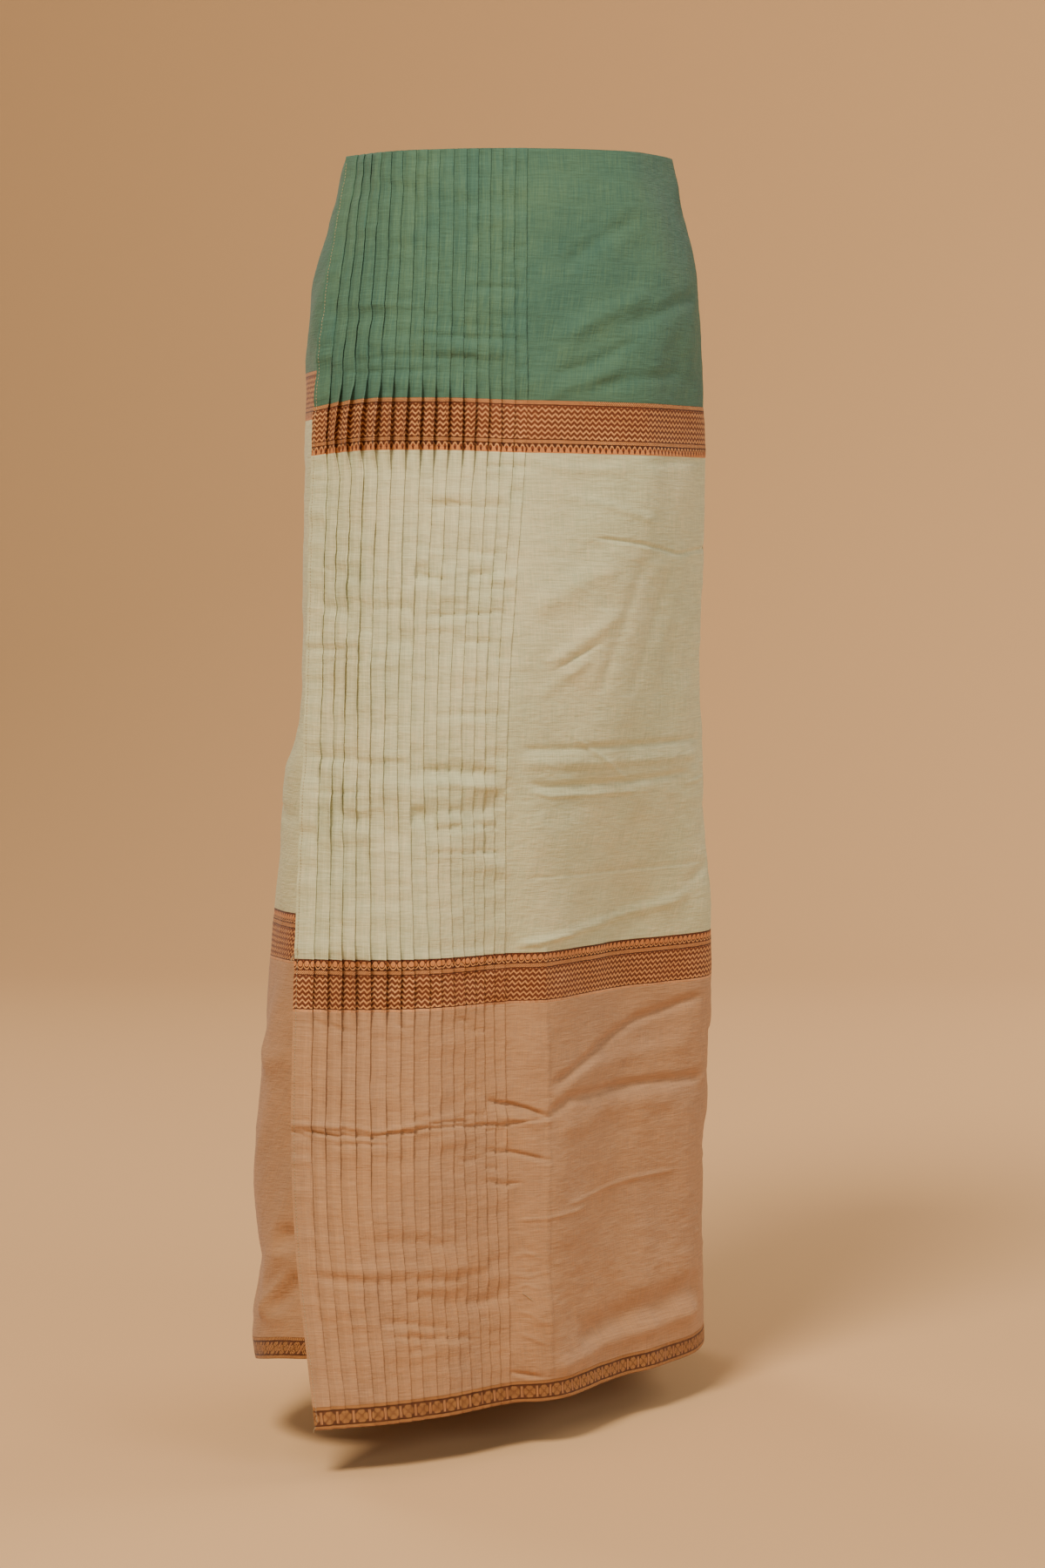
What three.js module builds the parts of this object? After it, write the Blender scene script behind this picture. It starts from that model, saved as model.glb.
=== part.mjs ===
// A wrapped dhoti: one length of handloom cotton wound round the hips, its outer end pressed into
// narrow knife pleats at the front. Millimetres, +Z up, front towards -Y, origin at the waist's centre.
import * as THREE from 'three';

// Cloth
const WALL = 1.0;
const SEAM = 0.3;
const LAYER = WALL + SEAM;

// Pleated end: width over all the folds, how far a pleat runs back under its neighbour,
// how far a fold edge stands off, and the lengths of the step that leads down to the next strip
const PANEL = 180;
const PLEAT_DEPTH = 5.5;
const FOLD_STAND = 0.7;
const STEP_FOOT = 1.2;
const STEP_HEAD = 0.7;
const HIDDEN_LAP = 1.5;

// Levels where the woven zones meet, measured down from the waist
const WAIST = 0;
const UPPER_BORDER = -200;
const SAGE_TOP = -242;
const LOWER_BORDER = -650;
const TAN_TOP = -692;
const HEM_BORDER = -1005;
const HEM = -1023;

// Zones from the waist to the hem, with the rows of the wall in each
const ZONES = [
  { name: 'green', top: WAIST, foot: UPPER_BORDER, bands: 4, colour: 0x5d7a60, roughness: 0.85 },
  { name: 'upper_border', top: UPPER_BORDER, foot: SAGE_TOP, bands: 1, colour: 0x95613b, roughness: 0.7 },
  { name: 'sage', top: SAGE_TOP, foot: LOWER_BORDER, bands: 4, colour: 0xbcae8f, roughness: 0.85 },
  { name: 'lower_border', top: LOWER_BORDER, foot: TAN_TOP, bands: 1, colour: 0x915a34, roughness: 0.7 },
  { name: 'tan', top: TAN_TOP, foot: HEM_BORDER, bands: 3, colour: 0xb2845e, roughness: 0.85 },
  { name: 'hem_border', top: HEM_BORDER, foot: HEM, bands: 1, colour: 0x8a6440, roughness: 0.7 },
];

// Plan of the wrap at each level, as [x, y] at stations in the order in which the cloth runs:
// from the free edge over the front, round the right side and the back to the left side.
// slack is how far inside the front panel the underlap lies, at the free edge and at its own end.
const SECTIONS = [
  { z: 0, edge: [-133, -30], front: [-96, -72], mid: [-40, -96], fold: [15, -99],
    crease: [46, -94], turn: [98, -69], right: [135, 0], rearRight: [97, 70],
    rear: [0, 100], rearLeft: [-97, 70], left: [-131, 8], slackEdge: 6, slackEnd: 4 },
  { z: -110, edge: [-150, -70], front: [-105, -98], mid: [-45, -111], fold: [14, -112],
    crease: [42, -109], turn: [116, -80], right: [159, 5], rearRight: [117, 90],
    rear: [0, 120], rearLeft: [-116, 86], left: [-162, 0], slackEdge: 9, slackEnd: 5 },
  { z: -220, edge: [-159, -85], front: [-110, -112], mid: [-48, -118], fold: [14, -117],
    crease: [42, -113], turn: [118, -82], right: [163, 12], rearRight: [121, 98],
    rear: [0, 128], rearLeft: [-118, 92], left: [-164, 0], slackEdge: 6, slackEnd: 4 },
  { z: -450, edge: [-165, -114], front: [-112, -131], mid: [-54, -134], fold: [-1, -126],
    crease: [31, -116], turn: [106, -58], right: [163, 40], rearRight: [130, 118],
    rear: [4, 132], rearLeft: [-116, 96], left: [-163, 0], slackEdge: 10, slackEnd: 6 },
  { z: -670, edge: [-173, -141], front: [-122, -147], mid: [-66, -140], fold: [-4, -99],
    crease: [30, -89], turn: [94, 2], right: [171, 78], rearRight: [152, 166],
    rear: [32, 176], rearLeft: [-97, 122], left: [-198, -8], slackEdge: 26, slackEnd: 12 },
  { z: -850, edge: [-173, -163], front: [-121, -167], mid: [-62, -146], fold: [-2, -102],
    crease: [32, -91], turn: [98, 8], right: [164, 88], rearRight: [160, 210],
    rear: [74, 250], rearLeft: [-82, 152], left: [-211, -22], slackEdge: 42, slackEnd: 20 },
  { z: -1023, edge: [-155, -187], front: [-112, -173], mid: [-56, -144], fold: [0, -97],
    crease: [33, -89], turn: [100, 10], right: [164, 96], rearRight: [167, 236],
    rear: [112, 316], rearLeft: [-62, 192], left: [-215, -36], slackEdge: 60, slackEnd: 28 },
];
const OUTER = ['edge', 'front', 'mid', 'fold', 'crease', 'turn', 'right', 'rearRight', 'rear', 'rearLeft', 'left'];
const UNDER = { underEdge: 'edge', underFront: 'front', underMid: 'mid', underEnd: 'fold' };
const STATIONS = [...OUTER, ...Object.keys(UNDER)];

// How far the cloth rides above its level at each station: the wearer pulls the inner layer higher
const RIDE = [
  { station: 'edge', waist: 0, hips: 0, knee: 0, hem: 0 },
  { station: 'mid', waist: 0, hips: 0, knee: 0, hem: 0 },
  { station: 'fold', waist: 0, hips: -2, knee: 0, hem: 0 },
  { station: 'right', waist: 0, hips: -4, knee: 0, hem: 0 },
  { station: 'rear', waist: 0, hips: 4, knee: 8, hem: 6 },
  { station: 'rearLeft', waist: 0, hips: 14, knee: 20, hem: 18 },
  { station: 'left', waist: 0, hips: 22, knee: 30, hem: 26 },
  { station: 'underEdge', waist: 0, hips: 24, knee: 34, hem: 44 },
  { station: 'underEnd', waist: 0, hips: 26, knee: 38, hem: 56 },
];
const RIDE_LEVELS = { waist: WAIST, hips: UPPER_BORDER, knee: LOWER_BORDER, hem: HEM };

// Fold edges, by their distance from the free edge at three levels, and how far each one
// stands open at the upper border
const FOLDS = [
  { hips: 15.7, knee: 16.0, hem: 14.1, open: 2.4 },
  { hips: 26.6, knee: 27.6, hem: 25.6, open: 3.0 },
  { hips: 37.7, knee: 38.7, hem: 37.1, open: 3.0 },
  { hips: 48.9, knee: 49.6, hem: 48.6, open: 2.6 },
  { hips: 60.3, knee: 61.0, hem: 59.4, open: 2.0 },
  { hips: 72.1, knee: 73.2, hem: 69.8, open: 1.4 },
  { hips: 83.9, knee: 84.8, hem: 81.6, open: 1.0 },
  { hips: 95.1, knee: 95.6, hem: 92.4, open: 0.7 },
  { hips: 106.0, knee: 107.4, hem: 105.1, open: 0.4 },
  { hips: 117.7, knee: 118.0, hem: 116.7, open: 0.3 },
  { hips: 129.0, knee: 129.0, hem: 128.2, open: 0.2 },
  { hips: 139.2, knee: 140.0, hem: 139.0, open: 0.1 },
  { hips: 149.4, knee: 150.4, hem: 150.4, open: 0.1 },
  { hips: 159.6, knee: 160.2, hem: 160.6, open: 0 },
  { hips: 169.8, knee: 170.0, hem: 170.6, open: 0 },
  { hips: PANEL, knee: PANEL, hem: PANEL, open: 0 },
];
const OPEN_REACH = 60;

// Large soft folds of the plain cloth. from and to are places along the stretch, 0 to 1, at the
// top and foot of the fold; out is its height, and a negative one makes a trough.
const DRAPES = [
  { stretch: 'front', top: -700, foot: HEM, from: 0.62, to: 0.7, width: 24, out: 5 },
  { stretch: 'back', top: -330, foot: HEM, from: 0.16, to: 0.2, width: 30, out: -9 },
  { stretch: 'back', top: -260, foot: HEM, from: 0.36, to: 0.5, width: 34, out: 13 },
  { stretch: 'back', top: -300, foot: HEM, from: 0.52, to: 0.68, width: 30, out: -12 },
  { stretch: 'back', top: -360, foot: HEM, from: 0.7, to: 0.86, width: 30, out: 10 },
  { stretch: 'underlap', top: -520, foot: HEM, from: 0.12, to: 0.08, width: 26, out: -8 },
  { stretch: 'underlap', top: -600, foot: HEM, from: 0.27, to: 0.26, width: 20, out: 5 },
];

// The stretches of the wrap, each from one station to the next, with the columns of its wall.
// crowd gathers the first columns, where the front comes out from under the last fold.
const STRETCHES = [
  { name: 'front', from: 'fold', to: 'right', columns: 15, crowd: 1.7 },
  { name: 'back', from: 'right', to: 'rearLeft', columns: 21, crowd: 1 },
  { name: 'underlap', from: 'rearLeft', to: 'underEnd', columns: 23, crowd: 1 },
];
const SAMPLES = 24;

// A smooth curve through values at knots, which run one way
function through(knots, values, at) {
  const rising = knots[1] > knots[0] ? 1 : -1;
  const last = knots.length - 1;
  let i = 0;
  while (i < last - 1 && (at - knots[i + 1]) * rising > 0) i += 1;
  const slope = (k) => {
    const a = Math.max(k - 1, 0);
    const b = Math.min(k + 1, last);
    return (values[b] - values[a]) / (knots[b] - knots[a]);
  };
  const span = knots[i + 1] - knots[i];
  const t = THREE.MathUtils.clamp((at - knots[i]) / span, 0, 1);
  const t2 = t * t;
  const t3 = t2 * t;
  return (2 * t3 - 3 * t2 + 1) * values[i] + (t3 - 2 * t2 + t) * span * slope(i)
    + (3 * t2 - 2 * t3) * values[i + 1] + (t3 - t2) * span * slope(i + 1);
}

const LEVELS = SECTIONS.map((section) => section.z);
const column = (read) => (z) => through(LEVELS, SECTIONS.map(read), z);

function outerStation(name, z) {
  const x = column((section) => section[name][0])(z);
  const y = column((section) => section[name][1])(z);
  return new THREE.Vector2(x, y);
}

// The underlap follows the front panel's stations, moved inwards by the slack
function underStation(name, z) {
  const above = OUTER.indexOf(UNDER[name]);
  const before = outerStation(OUTER[Math.max(above - 1, 0)], z);
  const after = outerStation(OUTER[above + 1], z);
  const along = after.sub(before).normalize();
  const share = above / OUTER.indexOf(UNDER.underEnd);
  const slackEdge = column((section) => section.slackEdge)(z);
  const slackEnd = column((section) => section.slackEnd)(z);
  const slack = THREE.MathUtils.lerp(slackEdge, slackEnd, share);
  const inwards = new THREE.Vector2(-along.y, along.x).multiplyScalar(slack);
  return outerStation(UNDER[name], z).add(inwards);
}

// The plan of the whole wrap at one level, measured along the cloth from the free edge
class Section {
  constructor(z) {
    const plan = STATIONS.map((name) => (name in UNDER ? underStation(name, z) : outerStation(name, z)));
    const points = plan.map((p) => new THREE.Vector3(p.x, p.y, 0));
    this.curve = new THREE.CatmullRomCurve3(points, false, 'centripetal');
    this.curve.arcLengthDivisions = (STATIONS.length - 1) * SAMPLES;
    const lengths = this.curve.getLengths();
    this.length = lengths.at(-1);
    this.mark = {};
    STATIONS.forEach((name, i) => {
      this.mark[name] = lengths[i * SAMPLES];
    });
  }

  point(distance, out) {
    const share = THREE.MathUtils.clamp(distance / this.length, 0, 1);
    const at = this.curve.getPointAt(share);
    const along = this.curve.getTangentAt(share);
    return new THREE.Vector2(at.x + along.y * out, at.y - along.x * out);
  }
}

const known = new Map();
function sectionAt(z) {
  const key = z.toFixed(2);
  if (!known.has(key)) known.set(key, new Section(Number(key)));
  return known.get(key);
}

function ride(section, distance, z) {
  const marks = RIDE.map((row) => section.mark[row.station]);
  const heights = RIDE.map((row) => {
    const names = Object.keys(RIDE_LEVELS);
    return through(names.map((name) => RIDE_LEVELS[name]), names.map((name) => row[name]), z);
  });
  return through(marks, heights, distance);
}

// Where a fold edge lies at a level, and how far it stands off the strip below
function foldAt(fold, z) {
  return through([UPPER_BORDER, LOWER_BORDER, HEM], [fold.hips, fold.knee, fold.hem], z);
}

function standAt(fold, z) {
  const middle = (UPPER_BORDER + SAGE_TOP) / 2;
  return FOLD_STAND + fold.open * Math.exp(-(((z - middle) / OPEN_REACH) ** 2));
}

// The pleats seen from above, as [distance, height] down the middle of the cloth: each strip
// climbs to its fold edge, turns back under itself and comes forward again as the next strip
function pleatProfile(z) {
  const path = [[0, 0]];
  FOLDS.forEach((fold) => {
    const edge = foldAt(fold, z);
    const stand = standAt(fold, z);
    path.push([edge - PLEAT_DEPTH - STEP_HEAD, 2 * LAYER]);
    path.push([edge, 2 * LAYER + stand]);
    path.push([edge, LAYER + stand]);
    path.push([edge - PLEAT_DEPTH, LAYER]);
    path.push([edge - PLEAT_DEPTH, 0]);
    path.push([edge + STEP_FOOT, 0]);
  });
  path.pop();
  path.push([foldAt(FOLDS.at(-1), z) - PLEAT_DEPTH + HIDDEN_LAP, 0]);
  return path;
}

function bump(t) {
  return Math.exp(-t * t);
}

function drapeHeight(stretch, share, z, length) {
  let height = 0;
  DRAPES.filter((drape) => drape.stretch === stretch).forEach((drape) => {
    const down = THREE.MathUtils.clamp((z - drape.top) / (drape.foot - drape.top), 0, 1);
    const middle = THREE.MathUtils.lerp(drape.from, drape.to, down);
    height += drape.out * Math.sin((down * Math.PI) / 2) * bump(((share - middle) * length) / drape.width);
  });
  return height;
}

// The panel's width at a level as a share of its cut width
function stretchOfPanel(z) {
  return sectionAt(z).mark.fold / PANEL;
}

// One row of the plain cloth between two stations
function plainProfile(stretch, z) {
  const section = sectionAt(z);
  const lap = stretch.name === 'front' ? (PLEAT_DEPTH - HIDDEN_LAP) * stretchOfPanel(z) : 0;
  const start = section.mark[stretch.from] - lap + SEAM;
  const end = section.mark[stretch.to];
  const path = [];
  for (let i = 0; i <= stretch.columns; i += 1) {
    const share = (i / stretch.columns) ** stretch.crowd;
    const out = drapeHeight(stretch.name, share, z, end - start);
    path.push([THREE.MathUtils.lerp(start, end, share), out]);
  }
  return path;
}

function profileAt(stretch, z) {
  if (stretch.name !== 'pleats') return plainProfile(stretch, z);
  return pleatProfile(z).map(([distance, out]) => [distance * stretchOfPanel(z), out]);
}

// Puts a profile on the wrap. The cloth rides up, so each point is placed at its own level,
// at the same share of the way between its two stations.
function place(profile, z) {
  const section = sectionAt(z);
  return profile.map(([distance, out]) => {
    const level = z + ride(section, distance, z);
    const there = sectionAt(THREE.MathUtils.clamp(level, HEM, WAIST));
    let i = 0;
    while (i < STATIONS.length - 2 && distance > section.mark[STATIONS[i + 1]]) i += 1;
    const [a, b] = [STATIONS[i], STATIONS[i + 1]];
    const share = (distance - section.mark[a]) / (section.mark[b] - section.mark[a]);
    const p = there.point(THREE.MathUtils.lerp(there.mark[a], there.mark[b], share), out);
    return new THREE.Vector3(p.x, p.y, level);
  });
}

// Moves a row of points half a wall out or in, along the mitre at each corner
function shifted(points, out) {
  return points.map((p, i) => {
    const before = points[Math.max(i - 1, 0)];
    const after = points[Math.min(i + 1, points.length - 1)];
    const from = i > 0 ? before : p;
    const to = i < points.length - 1 ? after : p;
    const a = new THREE.Vector2(p.x - from.x, p.y - from.y);
    const b = new THREE.Vector2(to.x - p.x, to.y - p.y);
    if (i === 0) a.copy(b);
    if (i === points.length - 1) b.copy(a);
    a.normalize();
    b.normalize();
    const mitre = (out * WALL) / 2 / (1 + a.dot(b));
    return new THREE.Vector3(p.x + (a.y + b.y) * mitre, p.y - (a.x + b.x) * mitre, p.z);
  });
}

// A closed wall through rows of points, the first row on top
function wallGeometry(rows) {
  const outer = rows.map((row) => shifted(row, 1));
  const inner = rows.map((row) => shifted(row, -1));
  const width = rows[0].length;
  const positions = [...outer.flat(), ...inner.flat()].flatMap((p) => [p.x, p.y, p.z]);
  const o = (r, c) => r * width + c;
  const i = (r, c) => rows.length * width + r * width + c;
  const index = [];
  const quad = (a, b, c, d) => index.push(a, b, c, a, c, d);
  const foot = rows.length - 1;
  const end = width - 1;
  for (let r = 0; r < foot; r += 1) {
    for (let c = 0; c < end; c += 1) {
      quad(o(r, c), o(r + 1, c), o(r + 1, c + 1), o(r, c + 1));
      quad(i(r, c), i(r, c + 1), i(r + 1, c + 1), i(r + 1, c));
    }
    quad(i(r, 0), i(r + 1, 0), o(r + 1, 0), o(r, 0));
    quad(o(r, end), o(r + 1, end), i(r + 1, end), i(r, end));
  }
  for (let c = 0; c < end; c += 1) {
    quad(o(0, c), o(0, c + 1), i(0, c + 1), i(0, c));
    quad(o(foot, c), i(foot, c), i(foot, c + 1), o(foot, c + 1));
  }
  const geometry = new THREE.BufferGeometry();
  geometry.setAttribute('position', new THREE.Float32BufferAttribute(positions, 3));
  geometry.setIndex(index);
  geometry.computeVertexNormals();
  return geometry;
}

// One stretch of one woven zone, half a seam short of its neighbours above and below
function zoneMesh(stretch, zone) {
  const top = zone.top === WAIST ? WAIST : zone.top - SEAM / 2;
  const foot = zone.foot === HEM ? HEM : zone.foot + SEAM / 2;
  const rows = [];
  for (let r = 0; r <= zone.bands; r += 1) {
    const z = THREE.MathUtils.lerp(top, foot, r / zone.bands);
    rows.push(place(profileAt(stretch, z), z));
  }
  const material = new THREE.MeshStandardMaterial({
    color: zone.colour,
    roughness: zone.roughness,
    metalness: 0,
  });
  const mesh = new THREE.Mesh(wallGeometry(rows), material);
  mesh.name = `${stretch.name}_${zone.name}`;
  return mesh;
}

const dhoti = new THREE.Group();
[{ name: 'pleats' }, ...STRETCHES].forEach((stretch) => {
  ZONES.forEach((zone) => dhoti.add(zoneMesh(stretch, zone)));
});

export default dhoti;
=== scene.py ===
"""Dresses the wrapped dhoti: one length of handloom cotton with woven colour zones and borders.

The cloth is worked out in millimetres, row by row. A place on it is its distance along the wrap
from the free edge and its level below the waist, and its height is how far it stands off the wrap.
"""

import math

import bpy
import numpy as np
from bpy.props import FloatProperty, FloatVectorProperty, PointerProperty
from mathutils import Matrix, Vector


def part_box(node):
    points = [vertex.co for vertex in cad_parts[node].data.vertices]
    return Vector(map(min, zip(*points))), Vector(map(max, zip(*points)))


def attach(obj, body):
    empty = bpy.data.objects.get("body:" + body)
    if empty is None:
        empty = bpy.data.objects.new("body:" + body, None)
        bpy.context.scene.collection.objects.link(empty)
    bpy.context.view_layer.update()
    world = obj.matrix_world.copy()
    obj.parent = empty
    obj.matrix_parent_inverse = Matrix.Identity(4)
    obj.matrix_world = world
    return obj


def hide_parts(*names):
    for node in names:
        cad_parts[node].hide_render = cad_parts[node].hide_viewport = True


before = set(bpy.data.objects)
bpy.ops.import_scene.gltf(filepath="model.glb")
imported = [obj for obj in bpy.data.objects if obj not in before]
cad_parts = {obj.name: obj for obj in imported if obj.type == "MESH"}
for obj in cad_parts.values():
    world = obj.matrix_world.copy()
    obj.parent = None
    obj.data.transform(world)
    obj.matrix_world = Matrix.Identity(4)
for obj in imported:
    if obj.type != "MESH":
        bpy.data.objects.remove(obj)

bl_info = {
    "name": "Wrapped Dhoti",
    "version": (1, 0, 0),
    "blender": (4, 5, 0),
    "location": "View3D > Sidebar > Dhoti",
    "description": "Builds a pleated wrapped dhoti of handloom cotton with woven borders",
    "category": "Add Mesh",
}

MM = 0.001
BODY = "root"


def linear(code):
    """An sRGB hex colour as linear red, green and blue."""
    parts = [int(code[i : i + 2], 16) / 255 for i in (1, 3, 5)]
    return tuple(p / 12.92 if p <= 0.04045 else ((p + 0.055) / 1.055) ** 2.4 for p in parts)


def level_of(node, corner):
    """The level of a solid's lowest (0) or highest (1) corner, in mm."""
    return round(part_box(node)[corner][2] / MM)


# Levels of the woven zones in mm, read from the pleated panel's solids
WAIST = level_of("pleats_green", 1)
UPPER_BORDER = level_of("pleats_upper_border", 1)
SAGE_TOP = level_of("pleats_sage", 1)
LOWER_BORDER = level_of("pleats_lower_border", 1)
TAN_TOP = level_of("pleats_tan", 1)
HEM_BORDER = level_of("pleats_hem_border", 1)
HEM = level_of("pleats_hem_border", 0)

# Plan of the wrap at each level, as (x, y) in mm at stations in the order in which the cloth
# runs. slack is how far inside the panel the underlap lies, behind the free edge and at its end.
SECTIONS = [
    dict(z=0, edge=(-133, -30), front=(-96, -72), mid=(-40, -96), fold=(15, -99),
         crease=(46, -94), turn=(98, -69), right=(135, 0), rear_right=(97, 70),
         rear=(0, 100), rear_left=(-97, 70), left=(-131, 8), slack_edge=6, slack_end=4),
    dict(z=-110, edge=(-150, -70), front=(-105, -98), mid=(-45, -111), fold=(14, -112),
         crease=(42, -109), turn=(116, -80), right=(159, 5), rear_right=(117, 90),
         rear=(0, 120), rear_left=(-116, 86), left=(-162, 0), slack_edge=9, slack_end=5),
    dict(z=-220, edge=(-159, -85), front=(-110, -112), mid=(-48, -118), fold=(14, -117),
         crease=(42, -113), turn=(118, -82), right=(163, 12), rear_right=(121, 98),
         rear=(0, 128), rear_left=(-118, 92), left=(-164, 0), slack_edge=6, slack_end=4),
    dict(z=-450, edge=(-165, -114), front=(-112, -131), mid=(-54, -134), fold=(-1, -126),
         crease=(31, -116), turn=(106, -58), right=(163, 40), rear_right=(130, 118),
         rear=(4, 132), rear_left=(-116, 96), left=(-163, 0), slack_edge=10, slack_end=6),
    dict(z=-670, edge=(-173, -141), front=(-122, -147), mid=(-66, -140), fold=(-4, -99),
         crease=(30, -89), turn=(94, 2), right=(171, 78), rear_right=(152, 166),
         rear=(32, 176), rear_left=(-97, 122), left=(-198, -8), slack_edge=26, slack_end=12),
    dict(z=-850, edge=(-173, -163), front=(-121, -167), mid=(-62, -146), fold=(-2, -102),
         crease=(32, -91), turn=(98, 8), right=(164, 88), rear_right=(160, 210),
         rear=(74, 250), rear_left=(-82, 152), left=(-211, -22), slack_edge=42, slack_end=20),
    dict(z=-1023, edge=(-155, -187), front=(-112, -173), mid=(-56, -144), fold=(0, -97),
         crease=(33, -89), turn=(100, 10), right=(164, 96), rear_right=(167, 236),
         rear=(112, 316), rear_left=(-62, 192), left=(-215, -36), slack_edge=60, slack_end=28),
]
OUTER = ["edge", "front", "mid", "fold", "crease", "turn", "right",
         "rear_right", "rear", "rear_left", "left"]
UNDER = {"under_edge": "edge", "under_front": "front", "under_mid": "mid", "under_end": "fold"}
STATIONS = OUTER + list(UNDER)

# How far the cloth rides above its level at each station
RIDE_LEVELS = (WAIST, UPPER_BORDER, LOWER_BORDER, HEM)
RIDE = [
    dict(station="edge", rise=(0, 0, 0, 0)),
    dict(station="mid", rise=(0, 0, 0, 0)),
    dict(station="fold", rise=(0, -2, 0, 0)),
    dict(station="right", rise=(0, -4, 0, 0)),
    dict(station="rear", rise=(0, 4, 8, 6)),
    dict(station="rear_left", rise=(0, 14, 20, 18)),
    dict(station="left", rise=(0, 22, 30, 26)),
    dict(station="under_edge", rise=(0, 24, 34, 44)),
    dict(station="under_end", rise=(0, 26, 38, 56)),
]

# The free edge hangs lower round the upper border: how wide and how steeply, and as (level, drop)
# at the very edge
DROOP_WIDTH = 62
DROOP_FALL = 1.6
DROOP = [(WAIST, 0), (-110, -2), (-170, -5), (-200, -6.6), (-242, -4.2), (-270, -1.5), (-310, 0),
         (HEM, 0)]

# Knife pleats, in mm: the panel's width, how far a pleat runs back under its neighbour, the
# spacing of two layers, how far a fold edge stands off at least and on average above that, and
# the steps down to the next strip
PANEL = 180
PLEAT_DEPTH = 5.5
LAYER = 0.5
FOLD_STAND = 0.04
EDGE_LIFT_MEAN = 0.06
STEP_FOOT = 1.0
STEP_HEAD = 0.8

# Points of a pleat's section, as shares of its strip and of its turned depth, and in degrees
# round its fold
STRIP_POINTS = (0, 0.35, 0.7, 1)
DEPTH_POINTS = (0, 0.45, 0.8, 0.95)
TURN_POINTS = (55, 0, -55)

# Fold edges: distance from the free edge at the upper border, the lower border and the hem; how
# far each one stands open in the stiff upper and lower border; how far it gapes between them; and
# how much it kinks round the upper border
FOLDS = [
    dict(at=(15.7, 16.0, 14.1), open=(2.2, 1.6), gape=1.1, kink=0.6),
    dict(at=(26.6, 27.6, 25.6), open=(5.2, 3.0), gape=1.8, kink=1.0),
    dict(at=(37.7, 38.7, 37.1), open=(6.0, 3.4), gape=2.2, kink=1.0),
    dict(at=(48.9, 49.6, 48.6), open=(6.2, 3.6), gape=2.0, kink=1.0),
    dict(at=(60.3, 61.0, 59.4), open=(6.2, 3.5), gape=1.7, kink=0.9),
    dict(at=(72.1, 73.2, 69.8), open=(6.0, 3.2), gape=1.1, kink=0.5),
    dict(at=(83.9, 84.8, 81.6), open=(5.8, 2.8), gape=0.8, kink=0.3),
    dict(at=(95.1, 95.6, 92.4), open=(5.4, 2.0), gape=0.6, kink=0.2),
    dict(at=(106.0, 107.4, 105.1), open=(5.0, 1.3), gape=0.3, kink=0.1),
    dict(at=(117.7, 118.0, 116.7), open=(4.6, 0.9), gape=0.25, kink=0.0),
    dict(at=(129.0, 129.0, 128.2), open=(3.9, 0.7), gape=0.2, kink=0.0),
    dict(at=(139.2, 140.0, 139.0), open=(3.1, 0.5), gape=0.15, kink=0.0),
    dict(at=(149.4, 150.4, 150.4), open=(2.2, 0.4), gape=0.1, kink=0.0),
    dict(at=(159.6, 160.2, 160.6), open=(1.4, 0.3), gape=0.1, kink=0.0),
    dict(at=(169.8, 170.0, 170.6), open=(0.6, 0.2), gape=0.05, kink=0.0),
    dict(at=(PANEL, PANEL, PANEL), open=(0.1, 0.1), gape=0.05, kink=0.0),
]

# How far from a border's middle its folds stand open, and how far the strip below an open fold
# sinks, as a share of the opening
OPEN_REACH = 29
OPEN_DIP = 0.38

# How much of its kink and gape a fold has at each level, as (level, share)
KINK = [(WAIST, 1.0), (-150, 1.2), (-185, 1.6), (-221, 0), (-242, -0.8), (-262, 1.3), (-285, 0.5),
        (-330, 0), (HEM, 0)]
GAPE = [(WAIST, 0.3), (-180, 0.5), (-260, 0.5), (-330, 1.0), (-500, 0.9), (-528, 2.0), (-552, 0.9),
        (-600, 0.5), (-690, 0.45), (-784, 0.8), (-830, 0.3), (HEM, 0.1)]

# Large soft folds: share of the stretch at the fold's top and foot, width and height in mm
DRAPES = [
    dict(stretch="front", top=-700, share=(0.62, 0.7), width=24, out=5),
    dict(stretch="back", top=-330, share=(0.16, 0.2), width=30, out=-9),
    dict(stretch="back", top=-260, share=(0.36, 0.5), width=34, out=13),
    dict(stretch="back", top=-300, share=(0.52, 0.68), width=30, out=-12),
    dict(stretch="back", top=-360, share=(0.7, 0.86), width=30, out=10),
    dict(stretch="underlap", top=-520, share=(0.12, 0.08), width=26, out=-8),
    dict(stretch="underlap", top=-600, share=(0.27, 0.26), width=20, out=5),
]

# Swells where the cloth bears on the trailing leg: distance past the left station, width, and
# (level, height)
SWELLS = [
    dict(past=58, width=58, heights=[(WAIST, 0), (-492, 0), (-512, 3.5), (-530, 8.5), (-565, 8.0),
                                     (-620, 3.5), (-700, 0.5), (HEM, 0)]),
    dict(past=14, width=34, heights=[(WAIST, 0), (-880, 0), (-918, -3.5), (-942, -7.5),
                                     (-964, -4.5), (-985, 1), (-1003, 0), (HEM, -5)]),
]

# The plain stretches: from where to where they run, and how many columns they have. A crowd over
# 1 puts the columns closer at the start.
PLAIN = {
    "front": dict(start="fold", end="right", columns=96, crowd=1.2),
    "back": dict(start="right", end="rear_left", columns=84, crowd=1.0),
    "underlap": dict(start="rear_left", end="under_end", columns=96, crowd=1.0),
}
STRETCHES = ["pleats", *PLAIN]

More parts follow.
